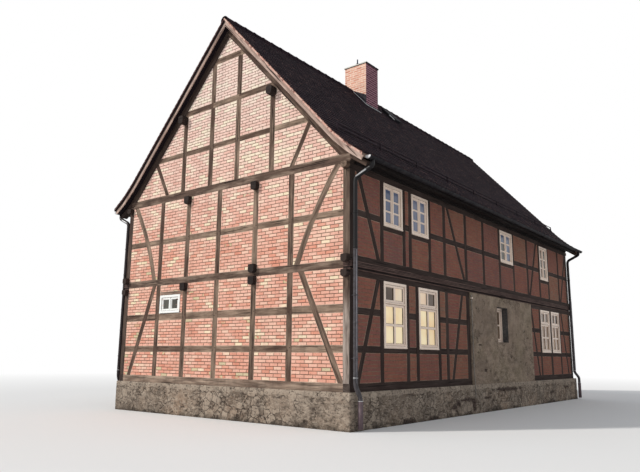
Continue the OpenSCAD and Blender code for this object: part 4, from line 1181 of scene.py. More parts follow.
def cut_to(loop, u0, u1, z0, z1):
    """The part of an outline inside an upright rectangle."""
    for axis, limit, sign in ((0, u0, 1), (0, u1, -1), (1, z0, 1), (1, z1, -1)):
        out = []
        for a, c in zip(loop[-1:] + loop[:-1], loop):
            in_a, in_c = (a[axis] - limit) * sign >= 0, (c[axis] - limit) * sign >= 0
            if in_a != in_c:
                out.append(part_way(a, c, (limit - a[axis]) / (c[axis] - a[axis])))
            if in_c:
                out.append(c)
        loop = out
        if len(loop) < 3:
            return []
    return loop


# %% One brick
brick_luck = random.Random(5)
PITCH_U, PITCH_Z = 0.25, 0.083
MORTAR_FACE, BRICK_JITTER = 0.01, 0.0012


def lay_brick(stock, wall, outline, back, proud, tone, finish=0):
    """A brick's face: the cut outline, raised from the mortar with rounded edges."""
    us, zs = [p[0] for p in outline], [p[1] for p in outline]
    cu, cz = (min(us) + max(us)) / 2, (min(zs) + max(zs)) / 2
    wide, high = max(us) - min(us), max(zs) - min(zs)
    if wide < 0.018 or high < 0.012:
        return
    rings = []
    worn = [(brick_luck.uniform(-BRICK_JITTER, BRICK_JITTER),
             brick_luck.uniform(-BRICK_JITTER, BRICK_JITTER)) for _ in outline]
    for depth, inset in ((back + 0.002, 0.0), (proud + 0.0016, 0.0008), (proud, 0.004)):
        ku, kz = max(0.2, 1 - 2 * inset / wide), max(0.2, 1 - 2 * inset / high)
        points = [on_wall(wall, cu + (u - cu) * ku + ju, cz + (z - cz) * kz + jz, depth)
                  for (u, z), (ju, jz) in zip(outline, worn)]
        rings.append(stock.corners(points[::-1] if FLIPPED[wall] else points))
    stock.loft(rings, len(outline), ends=False, tone=tone, finish=finish)
    stock.cap(rings[-1], len(outline), tone=tone, finish=finish)


# %% A panel of bricks
def lay_panel(stock, wall, outline, proud, bed, head, back=MORTAR_FACE, gap=0.008, mood=0.0, finish=0):
    """Running bond inside an outline. Mood is how much of the tone belongs to the whole panel."""
    inner = shrink(outline, gap)
    low, high = min(p[1] for p in inner), max(p[1] for p in inner)
    left = min(p[0] for p in inner)
    courses = max(1, round((high - low + bed) / PITCH_Z))
    rise = (high - low + bed) / courses
    shift = brick_luck.choice((0.0, 0.0, 0.06))
    shared = brick_luck.random()
    for k in range(courses):
        z0 = low + k * rise
        strip = cut_to(inner, -1, 99, z0, z0 + rise - bed)
        if not strip:
            continue
        u0, u1 = min(p[0] for p in strip), max(p[0] for p in strip)
        first = left + shift + (PITCH_U / 2 if k % 2 else 0)
        joints = [first + i * PITCH_U for i in range(-2, 60)]
        joints = [j + brick_luck.uniform(-0.003, 0.003) for j in joints if u0 + 0.05 < j < u1 - 0.04]
        edges = [u0 - 0.001] + joints + [u1 + head + 0.001]
        for a, c in zip(edges, edges[1:]):
            piece = cut_to(strip, a, c - head, z0, z0 + rise)
            if piece:
                settle = brick_luck.uniform(-0.001, 0.0012)
                tone = mood * shared + (1 - mood) * brick_luck.triangular(0, 1, 0.45)
                lay_brick(stock, wall, piece, back, proud + settle, tone, finish)


# %% Pointing along the timbers
def lay_pointing(stock, wall, outline):
    """A narrow, uneven strip of mortar round a panel, where it was pressed against the timbers."""
    outer, inner = shrink(outline, -0.002), shrink(outline, 0.013)
    if len(outer) != len(inner):
        return
    for (a, c), (p, q) in zip(sides_of(outer), sides_of(inner)):
        parts = max(1, round(math.hypot(c[0] - a[0], c[1] - a[1]) / 0.12))
        previous = None
        for i in range(parts + 1):
            give = brick_luck.uniform(-0.35, 0.45) if 0 < i < parts else 0
            edge, lip = part_way(a, c, i / parts), part_way(p, q, i / parts)
            lip = (lip[0] + (lip[0] - edge[0]) * give, lip[1] + (lip[1] - edge[1]) * give)
            now = stock.corners([on_wall(wall, *edge, MORTAR_FACE - 0.005),
                    on_wall(wall, *lip, MORTAR_FACE - 0.0005)])
            if previous is not None:
                corners = [previous, now, now + 1, previous + 1]
                stock.face(corners[::-1] if FLIPPED[wall] else corners, tone=brick_luck.random())
            previous = now


# %% Brick walls
STREET = {"proud": 0.005, "bed": 0.013, "head": 0.009, "mood": 0.6}
GABLE = {"proud": 0.003, "bed": 0.0155, "head": 0.014, "mood": 0.1}


def brick_up(name, wall, brick, pointing, bond):
    bricks, strips = Stock(), Stock()
    panels = panel_outlines(f"{name}_infill", wall)
    for outline in panels:
        lay_panel(bricks, wall, outline, **bond)
        lay_pointing(strips, wall, outline)
    print(name, "has", len(panels), "panels")
    make_piece(f"{name}_bricks", bricks, [brick], closed=False)
    make_piece(f"{name}_pointing", strips, [pointing], closed=False)


for wall in ("front", "back"):
    brick_up(wall, wall, street_brick, street_pointing, STREET)
for wall in ("near", "far"):
    brick_up(f"{wall}_gable", wall, gable_brick, gable_pointing, GABLE)

# %% [markdown]
# ## The roof
# Plain clay tiles hang in courses from the eaves to the ridge, each half covered by the next, and
# the joints change from course to course. A bump would show courses, but no ragged verges, so
# each tile is modelled. The slope bends out at the eaves, and a tile's place is found by walking
# along the roof's section.

# %% The roof's section
half = WIDTH / 2
knee = (0.35, RIDGE - SLOPE * (half - 0.35))
bend = (-0.05, knee[1] - 0.373)
eaves = (-0.5, bend[1] - 0.327)
section = [eaves, bend, knee, (half, RIDGE)]
lengths = [math.hypot(c[0] - a[0], c[1] - a[1]) for a, c in zip(section, section[1:])]


def up_the_roof(s, lift):
    """Place (y from the wall, z) at a distance up from the eaves, lifted square to the slope."""
    for (a, c), run in zip(zip(section, section[1:]), lengths):
        if s <= run or c == section[-1]:
            dy, dz = (c[0] - a[0]) / run, (c[1] - a[1]) / run
            return a[0] + dy * s - dz * lift, a[1] + dz * s + dy * lift
        s -= run


print("roof slope", round(sum(lengths), 3), "m long")

# %% One roof tile
tile_luck = random.Random(3)
TILE_THICKNESS = 0.014
ROUNDED_END = [(0.0, 0.012), (0.22, 0.003), (0.5, 0.0), (0.78, 0.003), (1.0, 0.012)]


def lay_tile(stock, side, x, s, width, length, tone):
    """One plain tile with a rounded lower end."""
    tip, tilt = tile_luck.uniform(0.016, 0.02), tile_luck.uniform(-0.0015, 0.0015)
    top = [(x + width * k, s + up_by, tip + tilt * (k - 0.5)) for k, up_by in ROUNDED_END]
    top += [(x + width, s + length, 0.003), (x, s + length, 0.003)]
    rim = [(px, ps, lift - TILE_THICKNESS) for px, ps, lift in top[:5]]
    corners = []
    for px, ps, lift in top + rim:
        y, z = up_the_roof(ps, lift)
        y = y - half if side == "front" else half - y
        corners.append((px - LENGTH / 2, y, z))
    first = stock.corners(corners)
    upper = [first + k for k in range(7)]
    edges = [[first + 7 + k, first + 8 + k, first + k + 1, first + k] for k in range(4)]
    edges += [[first + 7, first, first + 6], [first + 11, first + 5, first + 4]]
    for k, face in enumerate([upper] + edges):
        stock.face(face if side == "front" else face[::-1], tone=tone, finish=1 if k > 4 else 0)


# %% Both tiled slopes
TILE, COURSE, VERGE = 0.176, 0.158, 0.245
CHIMNEY = (5.97, 6.71, 3.571, 4.481)  # its sides, counted from the near gable and the front
STACK_NEAR, STACK_FAR = CHIMNEY[0] - LENGTH / 2, CHIMNEY[1] - LENGTH / 2
STACK_FRONT, STACK_BACK = CHIMNEY[2] - half, CHIMNEY[3] - half


def lay_roof(side):
    stock = Stock()
    slope = sum(lengths)
    rows = int(slope / COURSE)
    course = (slope - 0.03) / rows
    count = round((LENGTH + 2 * VERGE) / TILE)
    pitch_x = (LENGTH + 2 * VERGE) / count
    for row in range(rows):
        s = row * course - 0.012
        y, _ = up_the_roof(s + course, 0)
        y = y if side == "front" else WIDTH - y
        beside_stack = CHIMNEY[2] - 0.03 < y < CHIMNEY[3] + 0.03
        start = -VERGE - (pitch_x / 2 if row % 2 else 0)
        for i in range(count + row % 2):
            x0 = max(-VERGE, start + i * pitch_x)
            x1 = min(LENGTH + VERGE, start + (i + 1) * pitch_x) - 0.002
            under_stack = beside_stack and CHIMNEY[0] - 0.02 < (x0 + x1) / 2 < CHIMNEY[1] + 0.02
            if x1 - x0 > 0.03 and not under_stack:
                length = min(course + 0.03, slope - s)
                settled = s + tile_luck.uniform(-0.002, 0.002)
                lay_tile(stock, side, x0, settled, x1 - x0, length, tile_luck.random())
    make_piece(f"{side}_roof_tiles", stock, [roof_tile, tile_edge], closed=False)


lay_roof("front")
lay_roof("back")

# %% [markdown]
# ## The ridge
# Half-round caps close the ridge, and each slips under the next one's wider end. One long
# half-pipe would be simpler, but the steps between the caps show against the sky.

# %% Ridge caps
RIDGE_CAPS, CAP_THICKNESS = 42, 0.014


def lay_ridge():
    stock = Stock()
    whole = LENGTH + 2 * VERGE
    turns = [math.radians(a) for a in range(-18, 199, 18)]
    parts = len(turns)
    for i in range(RIDGE_CAPS):
        x0 = -VERGE + i * whole / RIDGE_CAPS
        x1 = min(x0 + whole / RIDGE_CAPS + 0.02, LENGTH + VERGE)
        if CHIMNEY[0] - 0.05 < (x0 + x1) / 2 < CHIMNEY[1] + 0.05:
            continue
        tone = tile_luck.random()
        rings = []
        for x, radius in ((x0, 0.128), (x0 + 0.05, 0.126), (x0 + 0.055, 0.119), (x1, 0.113)):
            ring = [(a, radius) for a in turns] + [(a, radius - CAP_THICKNESS) for a in reversed(turns)]
            rings.append(stock.corners([(x - LENGTH / 2, r * math.cos(a), RIDGE - 0.075 + r * math.sin(a))
                    for a, r in ring]))
        stock.loft(rings, 2 * parts, ends=False, tone=tone)
        for ring in (rings[0], rings[-1]):
            for k in range(parts - 1):
                opposite = ring + 2 * parts - 1 - k
                stock.face([ring + k, ring + k + 1, opposite - 1, opposite], tone=tone)
    make_piece("ridge_caps", stock, [roof_tile], ["ridge_tiles"])


lay_ridge()

# %% [markdown]
# ## Plinth and plastered wall
# Rubble under an old coat of plaster is never flat. A Displace modifier could push it about, but
# not by scars at chosen places. Here a skin of small faces follows the plinth all the way round,
# pushed out in code, and a second one covers the plastered stretch of the front.

# %% How far rough plaster stands out
def lumps(point, size, seed):
    return noise.fractal(Vector(point) * size + Vector((seed, 0, 0)), 1.0, 2.0, 4)


def skin_depth(point, amount):
    """A rough coat: broad bulges, lumps, and places where the coat has come off."""
    broad = lumps(point, 0.9, 4.0)
    rough = lumps(point, 5.0, 9.0)
    bare = min(1.0, max(0.0, (lumps(point, 1.3, 21.0) - 0.28) * 6))
    return max(0.001, amount * (0.66 + 0.35 * broad + 0.75 * rough - 0.45 * bare))


# %% Scars in the plaster
# Each scar is a place on the street front where the coat has come off: u, z, half width, half height.
SCARS = [(5.55, 0.4, 0.62, 0.05), (5.02, 0.33, 0.12, 0.09), (6.00, 0.24, 0.1, 0.16),
         (4.75, 0.23, 0.16, 0.06), (2.4, 0.02, 0.34, 0.09), (3.6, 0.03, 0.28, 0.06),
         (8.4, 0.6, 1.05, 0.05), (6.85, 0.4, 0.22, 0.03), (1.1, 0.672, 0.62, 0.011),
         (2.6, 0.672, 0.7, 0.014), (6.55, 1.93, 0.1, 0.03), (6.9, 1.2, 0.12, 0.03),
         (9.7, 1.45, 0.05, 0.04), (8.9, 1.6, 0.05, 0.03), (12.6, 0.35, 0.25, 0.04),
         (14.3, 0.5, 0.3, 0.05)]


def scar_at(u, z):
    """How much of the coat is gone at a place, from 0 to 1, with ragged edges."""
    ragged = lumps((u, 0, z), 5.0, 3.0) * 0.55
    worst = 0.0
    for cu, cz, wide, high in SCARS:
        if abs(u - cu) < 2 * wide and abs(z - cz) < 2 * high + 0.05:
            away = math.hypot((u - cu) / wide, (z - cz) / high) + ragged
            worst = max(worst, min(1.0, (1.15 - away) * 4))
    return worst


# %% The way round the plinth
SKIN_STEP, PLINTH_PROUD, FAR_PLINTH_PROUD = 0.045, 0.04, 0.222


def round_the_plinth():
    """Places (x, y) round the plinth, each with the direction in which its coat stands out."""
    near, far = -LENGTH / 2 - PLINTH_PROUD, LENGTH / 2 + FAR_PLINTH_PROUD
    front_y, back_y = -WIDTH / 2 - PLINTH_PROUD, WIDTH / 2 + PLINTH_PROUD
    corners = [(near, front_y), (far, front_y), (far, back_y), (near, back_y)]
    outward = [Vector(way) for way in ((0, -1), (1, 0), (0, 1), (-1, 0))]
    path = []
    for i, (a, c) in enumerate(sides_of(corners)):
        parts = round(math.hypot(c[0] - a[0], c[1] - a[1]) / SKIN_STEP)
        for k in range(parts):
            push = (outward[i - 1] + outward[i]) / 2 if k == 0 else outward[i]
            path.append((*part_way(a, c, k / parts), push))
    return path


# %% Plinth skin
def wrap_plinth():
    stock = Stock()
    path = round_the_plinth()
    count = len(path)
    heights = [0.0] + [0.03 + 0.035 * k for k in range(21)] + [0.755, 0.785, 0.8]
    rows, gone = [], []
    for z in heights:
        row, marks = [], []
        for x, y, push in path:
            on_street = y < 0 and push.y < -0.5
            scar = scar_at(x + LENGTH / 2, z) if on_street else 0.0
            band = 0.02 if z > 0.675 + 0.03 * lumps((x, y, 0), 1.5, 2.0) else 0.015
            out = skin_depth((x, y, z), band) * (1 - 0.9 * scar) if z < 0.79 else 0.002
            row.append((x + push.x * out, y + push.y * out, z))
            marks.append(scar)
        rows.append(stock.corners(row))
        gone.append(marks)
    reach_x, reach_y = LENGTH / 2 - 0.01, WIDTH / 2 - 0.01
    ledge = [(min(max(x, -reach_x), reach_x), min(max(y, -reach_y), reach_y), 0.801) for x, y, _ in path]
    rows.append(stock.corners(ledge))
    gone.append([0.0] * count)
    for j, (a, c) in enumerate(zip(rows, rows[1:])):
        for k in range(count):
            n = (k + 1) % count
            scarred = (gone[j][k] + gone[j][n] + gone[j + 1][k]) / 3
            stock.face([a + k, a + n, c + n, c + k], tone=scarred)
    make_piece("plinth_skin", stock, [plinth_render],
               ["plinth_front", "plinth_back", "plinth_near_gable", "plinth_far_gable"],
               closed=False, smooth=True)


wrap_plinth()

# %% Skin of the plastered wall
def even_steps(a, c, step):
    count = max(1, round((c - a) / step))
    return [a + (c - a) * k / count for k in range(count + 1)]


def steps_past(*stops):
    """Even steps that meet every one of some places on their way."""
    out = []
    for a, c in zip(stops, stops[1:]):
        out = out[:-1] + even_steps(a, c, SKIN_STEP)
    return out


def plaster_front():
    stock = Stock()
    left, wide, low, tall = deep_window
    right, high = left + wide, low + tall
    us = steps_past(MASONRY_FROM, left, right, MASONRY_TO)
    zs = steps_past(PLINTH, low, high, STOREY)
    grid = []
    for z in zs:
        row = []
        for u in us:
            hole = max(abs(u - (left + right) / 2) - (right - left) / 2,
                       abs(z - (low + high) / 2) - (high - low) / 2)
            soft = min(1.0, max(0.0, min(u - MASONRY_FROM, MASONRY_TO - u, hole) / 0.05))
            out = skin_depth((u, 0, z), 0.014) * soft * (1 - 0.9 * scar_at(u, z)) + 0.001
            row.append(on_wall("front", u, z, -0.032 - out))
        grid.append(stock.corners(row))
    for j, (a, c) in enumerate(zip(grid, grid[1:])):
        for i in range(len(us) - 1):
            u, z = (us[i] + us[i + 1]) / 2, (zs[j] + zs[j + 1]) / 2
            if not (left < u < right and low < z < high):
                stock.face([a + i, a + i + 1, c + i + 1, c + i], tone=scar_at(u, z))
    make_piece("plastered_front", stock, [wall_plaster], closed=False, smooth=True)


plaster_front()

# %% [markdown]
# ## Windows
# The CAD frames hold the plain casements. What is missing is the joiner's fine work: glazing
# bars, putty lines, a weather bar at the foot of each casement and cover strips. Bars could be
# painted on the glass, but their edges catch the sun. Old panes never lie in one plane, so the
# CAD glass is replaced by panes that each lean a little.

# %% A chamfered bar on a wall
def lay_bar(stock, wall, u0, u1, z0, z1, face, depth, chamfer=0.006):
    """A small painted member with its four front edges cut at an angle."""
    rings = []
    for d, inset in ((face + depth, 0.0), (face + chamfer, 0.0), (face, chamfer)):
        outline = box_outline(u0, u1, z0, z1, inset)
        rings.append(stock.corners([on_wall(wall, u, z, d) for u, z in outline]))
    stock.loft(rings, 4)


# %% Places of casements and panes
FRAME, STILE, TRANSOM, LIGHT, MID_BAR = 0.062, 0.052, 0.042, 0.316, 0.06
FACE = -0.012
CASEMENT = FACE + 0.024
PANE = CASEMENT + 0.025


def casements_of(w, count, lights):
    """Outer edges (u0, u1, z0, z1) of each casement and top light of a window."""
    left, width, low, height = w
    u0, u1 = left + FRAME, left + width - FRAME
    z0, z1 = low + FRAME, low + height - FRAME
    shelf = z1 - LIGHT - 2 * STILE
    if lights:
        return [(u0, u1, z0, shelf - TRANSOM), (u0, u1, shelf, z1)]
    each = (u1 - u0) / count
    return [(u0 + i * each, u0 + (i + 1) * each, z0, z1) for i in range(count)]


def openings_of(w, count, lights):
    """Edges of each glazed opening, from the lowest row up."""
    out = []
    for u0, u1, z0, z1 in casements_of(w, count, lights):
        inside = (u0 + STILE, u1 - STILE, z0 + STILE, z1 - STILE)
        if lights:
            middle = (u0 + u1) / 2
            out.append((inside[0], middle - MID_BAR / 2, *inside[2:]))
            out.append((middle + MID_BAR / 2, inside[1], *inside[2:]))
        else:
            out.append(inside)
    return out


# %% One pane with its putty
window_luck = random.Random(8)
LEAN, GLASS, LAP = 0.0008, 0.004, 0.008


def lay_pane(stock, wall, u0, u1, z0, z1, depth, pane_colour):
    """One pane of drawn glass: a thin plate that leans by a fraction of a millimetre."""
    lean = [window_luck.uniform(-LEAN, LEAN) for _ in range(4)]
    outline = list(zip(box_outline(u0, u1, z0, z1), lean))
    front = stock.corners([on_wall(wall, u, z, depth + k) for (u, z), k in outline])
    back = stock.corners([on_wall(wall, u, z, depth + GLASS + k) for (u, z), k in outline])
    stock.loft([front, back], 4, finish=pane_colour)


def lay_putty(stock, wall, u0, u1, z0, z1, shift):
    """Sloping putty round a pane, from the casement's rebate down to the glass."""
    rings = []
    for depth, inset in ((CASEMENT + 0.005, -0.002), (CASEMENT + 0.005, 0.003),
            (PANE + 0.001, 0.012), (PANE + 0.002, -0.002)):
        outline = box_outline(u0, u1, z0, z1, inset)
        rings.append(stock.corners([on_wall(wall, u, z, depth + shift) for u, z in outline]))
    stock.loft(rings + rings[:1], 4, ends=False)


# %% All panes, bars and gaps of one opening
# Strips of painted shade stand where casements and panes meet their frames.
SHARP = 0.0005  # the chamfer of strips that are only there to be dark


def glaze(joinery, panes, shade_lines, wall, opening, rows, pane_colours, shift, bar):
    """The panes of one opening with putty, bars, and, where the bars are wide, strips of painted shade
    along each pane's right and lower edges.
    """
    u0, u1, z0, z1 = opening
    step = (z1 - z0) / rows
    behind = PANE - 0.01 + shift
    for k in range(rows):
        first, last = k == 0, k == rows - 1
        low, high = z0 + k * step, z0 + (k + 1) * step
        foot, head = low + (0 if first else bar / 2), high - (0 if last else bar / 2)
        lay_pane(panes, wall, u0 - LAP, u1 + LAP, low - LAP * first, high + LAP * last,
                 PANE + shift, window_luck.choice(pane_colours))
        if bar > 0.03:
            lay_bar(shade_lines, wall, u1 - 0.025, u1 - LAP, foot, head, behind, 0.008, SHARP)
            lay_bar(shade_lines, wall, u0 + 0.004, u1 - 0.004, foot + 0.004, foot + 0.012, behind, 0.008, SHARP)
        lay_putty(joinery, wall, u0, u1, foot, head, shift)
        if not first:
            lay_bar(joinery, wall, u0 - 0.004, u1 + 0.004, low - bar / 2, low + bar / 2,
                    CASEMENT + 0.003 + shift, 0.016, 0.005)


def trace_gap_shade(stock, wall, edges, shift, width=0.006):
    """Dark strips of painted shade round a closed casement, along its gap."""
    u0, u1, z0, z1 = edges
    for strip in ((u0, u0 + width, z0, z1), (u1 - width, u1, z0, z1),
                  (u0, u1, z0, z0 + width), (u0, u1, z1 - width, z1)):
        lay_bar(stock, wall, *strip, CASEMENT - 0.0012 + shift, 0.004, SHARP)


# %% One dressed window
def dress_window(joinery, panes, shade_lines, wall, w, count, rows, pane_colours, lights=False, shift=0.0, bar=0.024):
    """Panes, painted shade round the casements, weather bar and sill strip, with a transom's
    or a middle cover strip.
    """
    left, width, low, height = w
    right, top, face = left + width, low + height, FACE + shift
    for i, opening in enumerate(openings_of(w, count, lights)):
        upper = lights and i > 1
        chosen = [pane_colours[1][i - 2]] if upper else pane_colours[0]
        glaze(joinery, panes, shade_lines, wall, opening, 1 if upper else rows, chosen, shift, bar)
    for edges in casements_of(w, count, lights):
        trace_gap_shade(shade_lines, wall, edges, shift)
    lay_bar(joinery, wall, left + FRAME + 0.004, right - FRAME - 0.004, low + FRAME + 0.004,
            low + FRAME + 0.038, face - 0.006, 0.03, 0.012)
    lay_bar(joinery, wall, left - 0.004, right + 0.004, low + 0.002, low + 0.03, face - 0.012, 0.03, 0.008)
    if lights:
        shelf = top - FRAME - LIGHT - 2 * STILE - TRANSOM
        lay_bar(joinery, wall, left + 0.02, right - 0.02, shelf + 0.004, shelf + TRANSOM - 0.004,
                face - 0.014, 0.03, 0.008)
    elif count == 2:
        middle = left + width / 2
        lay_bar(joinery, wall, middle - 0.018, middle + 0.018, low + FRAME + 0.045, top - FRAME - 0.01,
                face + 0.006, 0.02, 0.006)


# %% Dress all windows
# A window's painted pane colours are those of its lower panes, and then of its left and its right
# top light.
pane_finishes = [sky_pane, warm_pane, pale_pane, amber_pane, dim_pane, umber_pane, grey_pane]
SKY, WARM, PALE, AMBER, DIM, UMBER, GREY = range(len(pane_finishes))
upper_pane_colours = [[SKY], [SKY], [SKY, SKY, GREY], [SKY, DIM, GREY]]
street_pane_colours = [([WARM], [DIM, PALE]), ([WARM], [PALE, DIM]),
                ([AMBER], [UMBER, UMBER]), ([AMBER], [UMBER, DIM])]
back_pane_colours = [([SKY, SKY, DIM], [SKY, DIM])] * len(ground_windows)
joinery, panes, shade_lines = Stock(), Stock(), Stock()
for wall, low_pane_colours in (("front", street_pane_colours), ("back", back_pane_colours)):
    for w, pane_colours in zip(upper_windows, upper_pane_colours):
        dress_window(joinery, panes, shade_lines, wall, w, 2, 3, (pane_colours,))
    for w, pane_colours in zip(ground_windows, low_pane_colours):
        dress_window(joinery, panes, shade_lines, wall, w, 1, 2, pane_colours, lights=True, bar=0.045)
dress_window(joinery, panes, shade_lines, "front", deep_window, 2, 2, ([DIM],), shift=0.172)
for wall in ("near", "far"):
    dress_window(joinery, panes, shade_lines, wall, gable_window, 2, 1, ([GREY],))
make_piece("window_joinery", joinery, [window_paint])
make_piece("window_gap_shade", shade_lines, [painted_gap_shade])
make_piece("window_panes", panes, pane_finishes, ["window_glass"])

# %% Lining of the deep window, dark grey as painted shade in the recess
lining = Stock()
left, wide, low, tall = deep_window
rings = []
for depth, inset in ((-0.03, 0.0), (-0.03, 0.003), (0.159, 0.004), (0.159, 0.0)):
    outline = box_outline(left, left + wide, low, low + tall, inset)
    rings.append(lining.corners([on_wall("front", u, z, depth) for u, z in outline]))
lining.loft(rings + rings[:1], 4, ends=False)
make_piece("deep_window_lining", lining, [shaded_reveal_plaster])

# %% [markdown]
# ## Gutters and downpipes
# A half-round gutter hangs in iron straps along each eaves, and the pipes swing in under it with
# two smooth bends. A bevelled curve makes a pipe at once. A ring swept along a rounded path gives
# the same bends, and lets each collar have its own metal, while a seam and a bend carry a painted
# highlight.

# %% Tubes
def round_path(points, radius, steps=5):
    """A path whose corners are replaced by arcs."""
    path = [Vector(points[0])]
    for a, p, c in zip(points, points[1:], points[2:]):
        a, p, c = Vector(a), Vector(p), Vector(c)
        back, onward = (a - p).normalized(), (c - p).normalized()
        reach = min(radius, (a - p).length * 0.45, (c - p).length * 0.45)
        for k in range(steps + 1):
            t = k / steps
            arc = (p + back * reach) * (1 - t) ** 2 + p * 2 * t * (1 - t)
            path.append(arc + (p + onward * reach) * t * t)
    path.append(Vector(points[-1]))
    return path


def sweep_tube(stock, path, radius, sides=20, finish=0):
    """A round bar or pipe along a path."""
    turns = [2 * math.pi * k / sides for k in range(sides)]
    rings = []
    side = None
    for i, p in enumerate(path):
        ahead = (path[min(i + 1, len(path) - 1)] - path[max(i - 1, 0)]).normalized()
        if side is None:
            side = ahead.orthogonal().normalized()
        side = (side - ahead * side.dot(ahead)).normalized()
        other = ahead.cross(side)
        ring = [p + (side * math.cos(t) + other * math.sin(t)) * radius for t in turns]
        rings.append(stock.corners([tuple(q) for q in ring]))
    stock.loft(rings, sides, finish=finish)


# %% Downpipes
GUTTER_Y, GUTTER_Z = -0.575, eaves[1] - 0.052
PIPE, PIPE_Y, FOOT_Y = 0.05, -0.12, -0.165
STAND_TOP, DROP = 0.62, 0.21
pipe_metals = [downpipe, bright_zinc_and_highlight, stand_pipe, seam_painted_highlight]
PLAIN, BRIGHT, STAND, SEAM_HIGHLIGHT = range(len(pipe_metals))
# Each ring has its height, how tall it is, and its metal.
pipe_rings = ((3.9, 0.04, PLAIN), (2.25, 0.04, PLAIN), (1.1, 0.014, BRIGHT), (1.06, 0.036, PLAIN),
              (STAND_TOP, 0.012, BRIGHT))


def hang_pipe(stock, x_sign, y_sign):
    """One pipe. At the far end it hangs further in, and its foot steps out past the corner."""
    x, foot, knee_z = (0.045, 0.16, 0.92) if x_sign < 0 else (0.2, -0.175, 1.045)
    elbow_z = GUTTER_Z - 0.4

    def spot(out, y, z):
        return Vector((x_sign * (LENGTH / 2 - out), y_sign * (WIDTH / 2 - y), z))

    points = [spot(x + 0.015, GUTTER_Y, GUTTER_Z - 0.06), spot(x + 0.015, GUTTER_Y, GUTTER_Z - 0.19),
              spot(x, PIPE_Y, elbow_z), spot(x, PIPE_Y, knee_z),
              spot(foot, FOOT_Y, knee_z - DROP), spot(foot, FOOT_Y, 0.06)]
    sweep_tube(stock, round_path(points, 0.1), PIPE)
    sweep_tube(stock, [spot(foot, FOOT_Y, z) for z in (STAND_TOP, 0.05)], PIPE + 0.008, finish=STAND)
    # A pale seam down each pipe's side is a painted highlight.
    sweep_tube(stock, [spot(x - 0.022, PIPE_Y - 0.046, z) for z in (3.86, knee_z + 0.08)], 0.006, 8, SEAM_HIGHLIGHT)
    # A bright strip on the bend of each near-end pipe is a painted highlight.
    if x_sign < 0:
        bare = [spot(x - 0.03, PIPE_Y + (GUTTER_Y - PIPE_Y) * t, elbow_z + 0.21 * t)
                for t in (0.08, 0.35, 0.68)]
        sweep_tube(stock, bare, 0.022, 10, BRIGHT)
    for z in (4.68, 2.85, 1.5):
        sweep_tube(stock, [spot(x, PIPE_Y, z), spot(x, PIPE_Y, z + 0.03)], PIPE + 0.006)
        sweep_tube(stock, [spot(x, -0.08, z + 0.015), spot(x, 0.0, z + 0.015)], 0.007, 8)
    for z, high, metal in pipe_rings:
        out, y, radius = (foot, FOOT_Y, PIPE + 0.009) if z <= STAND_TOP else (x, PIPE_Y, PIPE + 0.004)
        sweep_tube(stock, [spot(out, y, z), spot(out, y, z + high)], radius, finish=metal)


for side, y_sign in (("front", -1), ("back", 1)):
    pipes = Stock()
    for x_sign in (-1, 1):
        hang_pipe(pipes, x_sign, y_sign)
    make_piece(f"{side}_pipes", pipes, pipe_metals, [f"{side}_downpipes"], smooth=True)

# %% Gutters with straps and bright end caps
def half_round(radius, parts=14):
    turns = [math.pi + math.pi * k / parts for k in range(parts + 1)]
    return [(radius * math.cos(t), radius * math.sin(t)) for t in turns]


def lay_channel(stock, y_sign, x0, x1, outer, thick, step, finish=0):
    """A half-round channel between two places along the eaves, with a slight sag."""
    shape = half_round(outer) + half_round(outer - thick)[::-1]
    rings = []
    for x in even_steps(x0, x1, step):
        sag = 0.0 if finish else 0.004 * math.sin(x * 2.1)
        rings.append(stock.corners([
            (x - LENGTH / 2, y_sign * (WIDTH / 2 - GUTTER_Y - y), GUTTER_Z + z + sag) for y, z in shape]))
    stock.loft(rings, len(shape), ends=False, finish=finish)
    for ring in (rings[0], rings[-1]):
        n = len(shape) // 2
        for k in range(n - 1):
            opposite = ring + 2 * n - 1 - k
            stock.face([ring + k, ring + k + 1, opposite - 1, opposite], finish=finish)


GUTTER_ENDS = (-0.13, LENGTH + 0.13)
STRAPS = 22
for side, y_sign in (("front", -1), ("back", 1)):
    stock = Stock()
    lay_channel(stock, y_sign, *GUTTER_ENDS, 0.069, 0.003, 0.8)
    for k in range(STRAPS):
        x = GUTTER_ENDS[0] + 0.12 + k * (LENGTH + 0.02) / (STRAPS - 1)
        lay_channel(stock, y_sign, x, x + 0.028, 0.0745, 0.004, 0.1)
    for x in (GUTTER_ENDS[0], GUTTER_ENDS[1] - 0.012):
        lay_channel(stock, y_sign, x, x + 0.012, 0.073, 0.072, 0.1, finish=1)
    bead_y = y_sign * (WIDTH / 2 - GUTTER_Y + 0.066)
    sweep_tube(stock, [Vector((x - LENGTH / 2, bead_y, GUTTER_Z)) for x in GUTTER_ENDS], 0.008, 8)
    make_piece(f"{side}_eaves_gutter", stock, [gutter_zinc, bright_zinc_and_highlight], [f"{side}_gutter"])

# %% [markdown]
# ## Chimney
# The stack is a brick shaft above the roof. A texture might do for so small a piece, but it
# stands against the sky. It gets real bricks as a wall panel does, on four drawings of its own.

# %% Chimney bricks
def chimney_faces():
    """Each side of the stack above the roof: its outline, its drawing, and whether it is flipped."""
    x0, x1, y0, y1 = STACK_NEAR, STACK_FAR, STACK_FRONT, STACK_BACK
    narrow, wide, top = 0.74, 0.91, RIDGE + 0.94
    low_front, low_back = RIDGE + SLOPE * y0, RIDGE - SLOPE * y1
    astride = [(0, low_front), (0 - y0, RIDGE), (wide, low_back), (wide, top), (0, top)]
    return {
        "stack_front": (box_outline(0, narrow, low_front, top), lambda u, z, d: (x0 + u, y0 + d, z), False),
        "stack_back": (box_outline(0, narrow, low_back, top), lambda u, z, d: (x1 - u, y1 - d, z), False),
        "stack_near": (astride, lambda u, z, d: (x0 + d, y0 + u, z), True),
        "stack_far": (astride, lambda u, z, d: (x1 - d, y0 + u, z), False),
    }


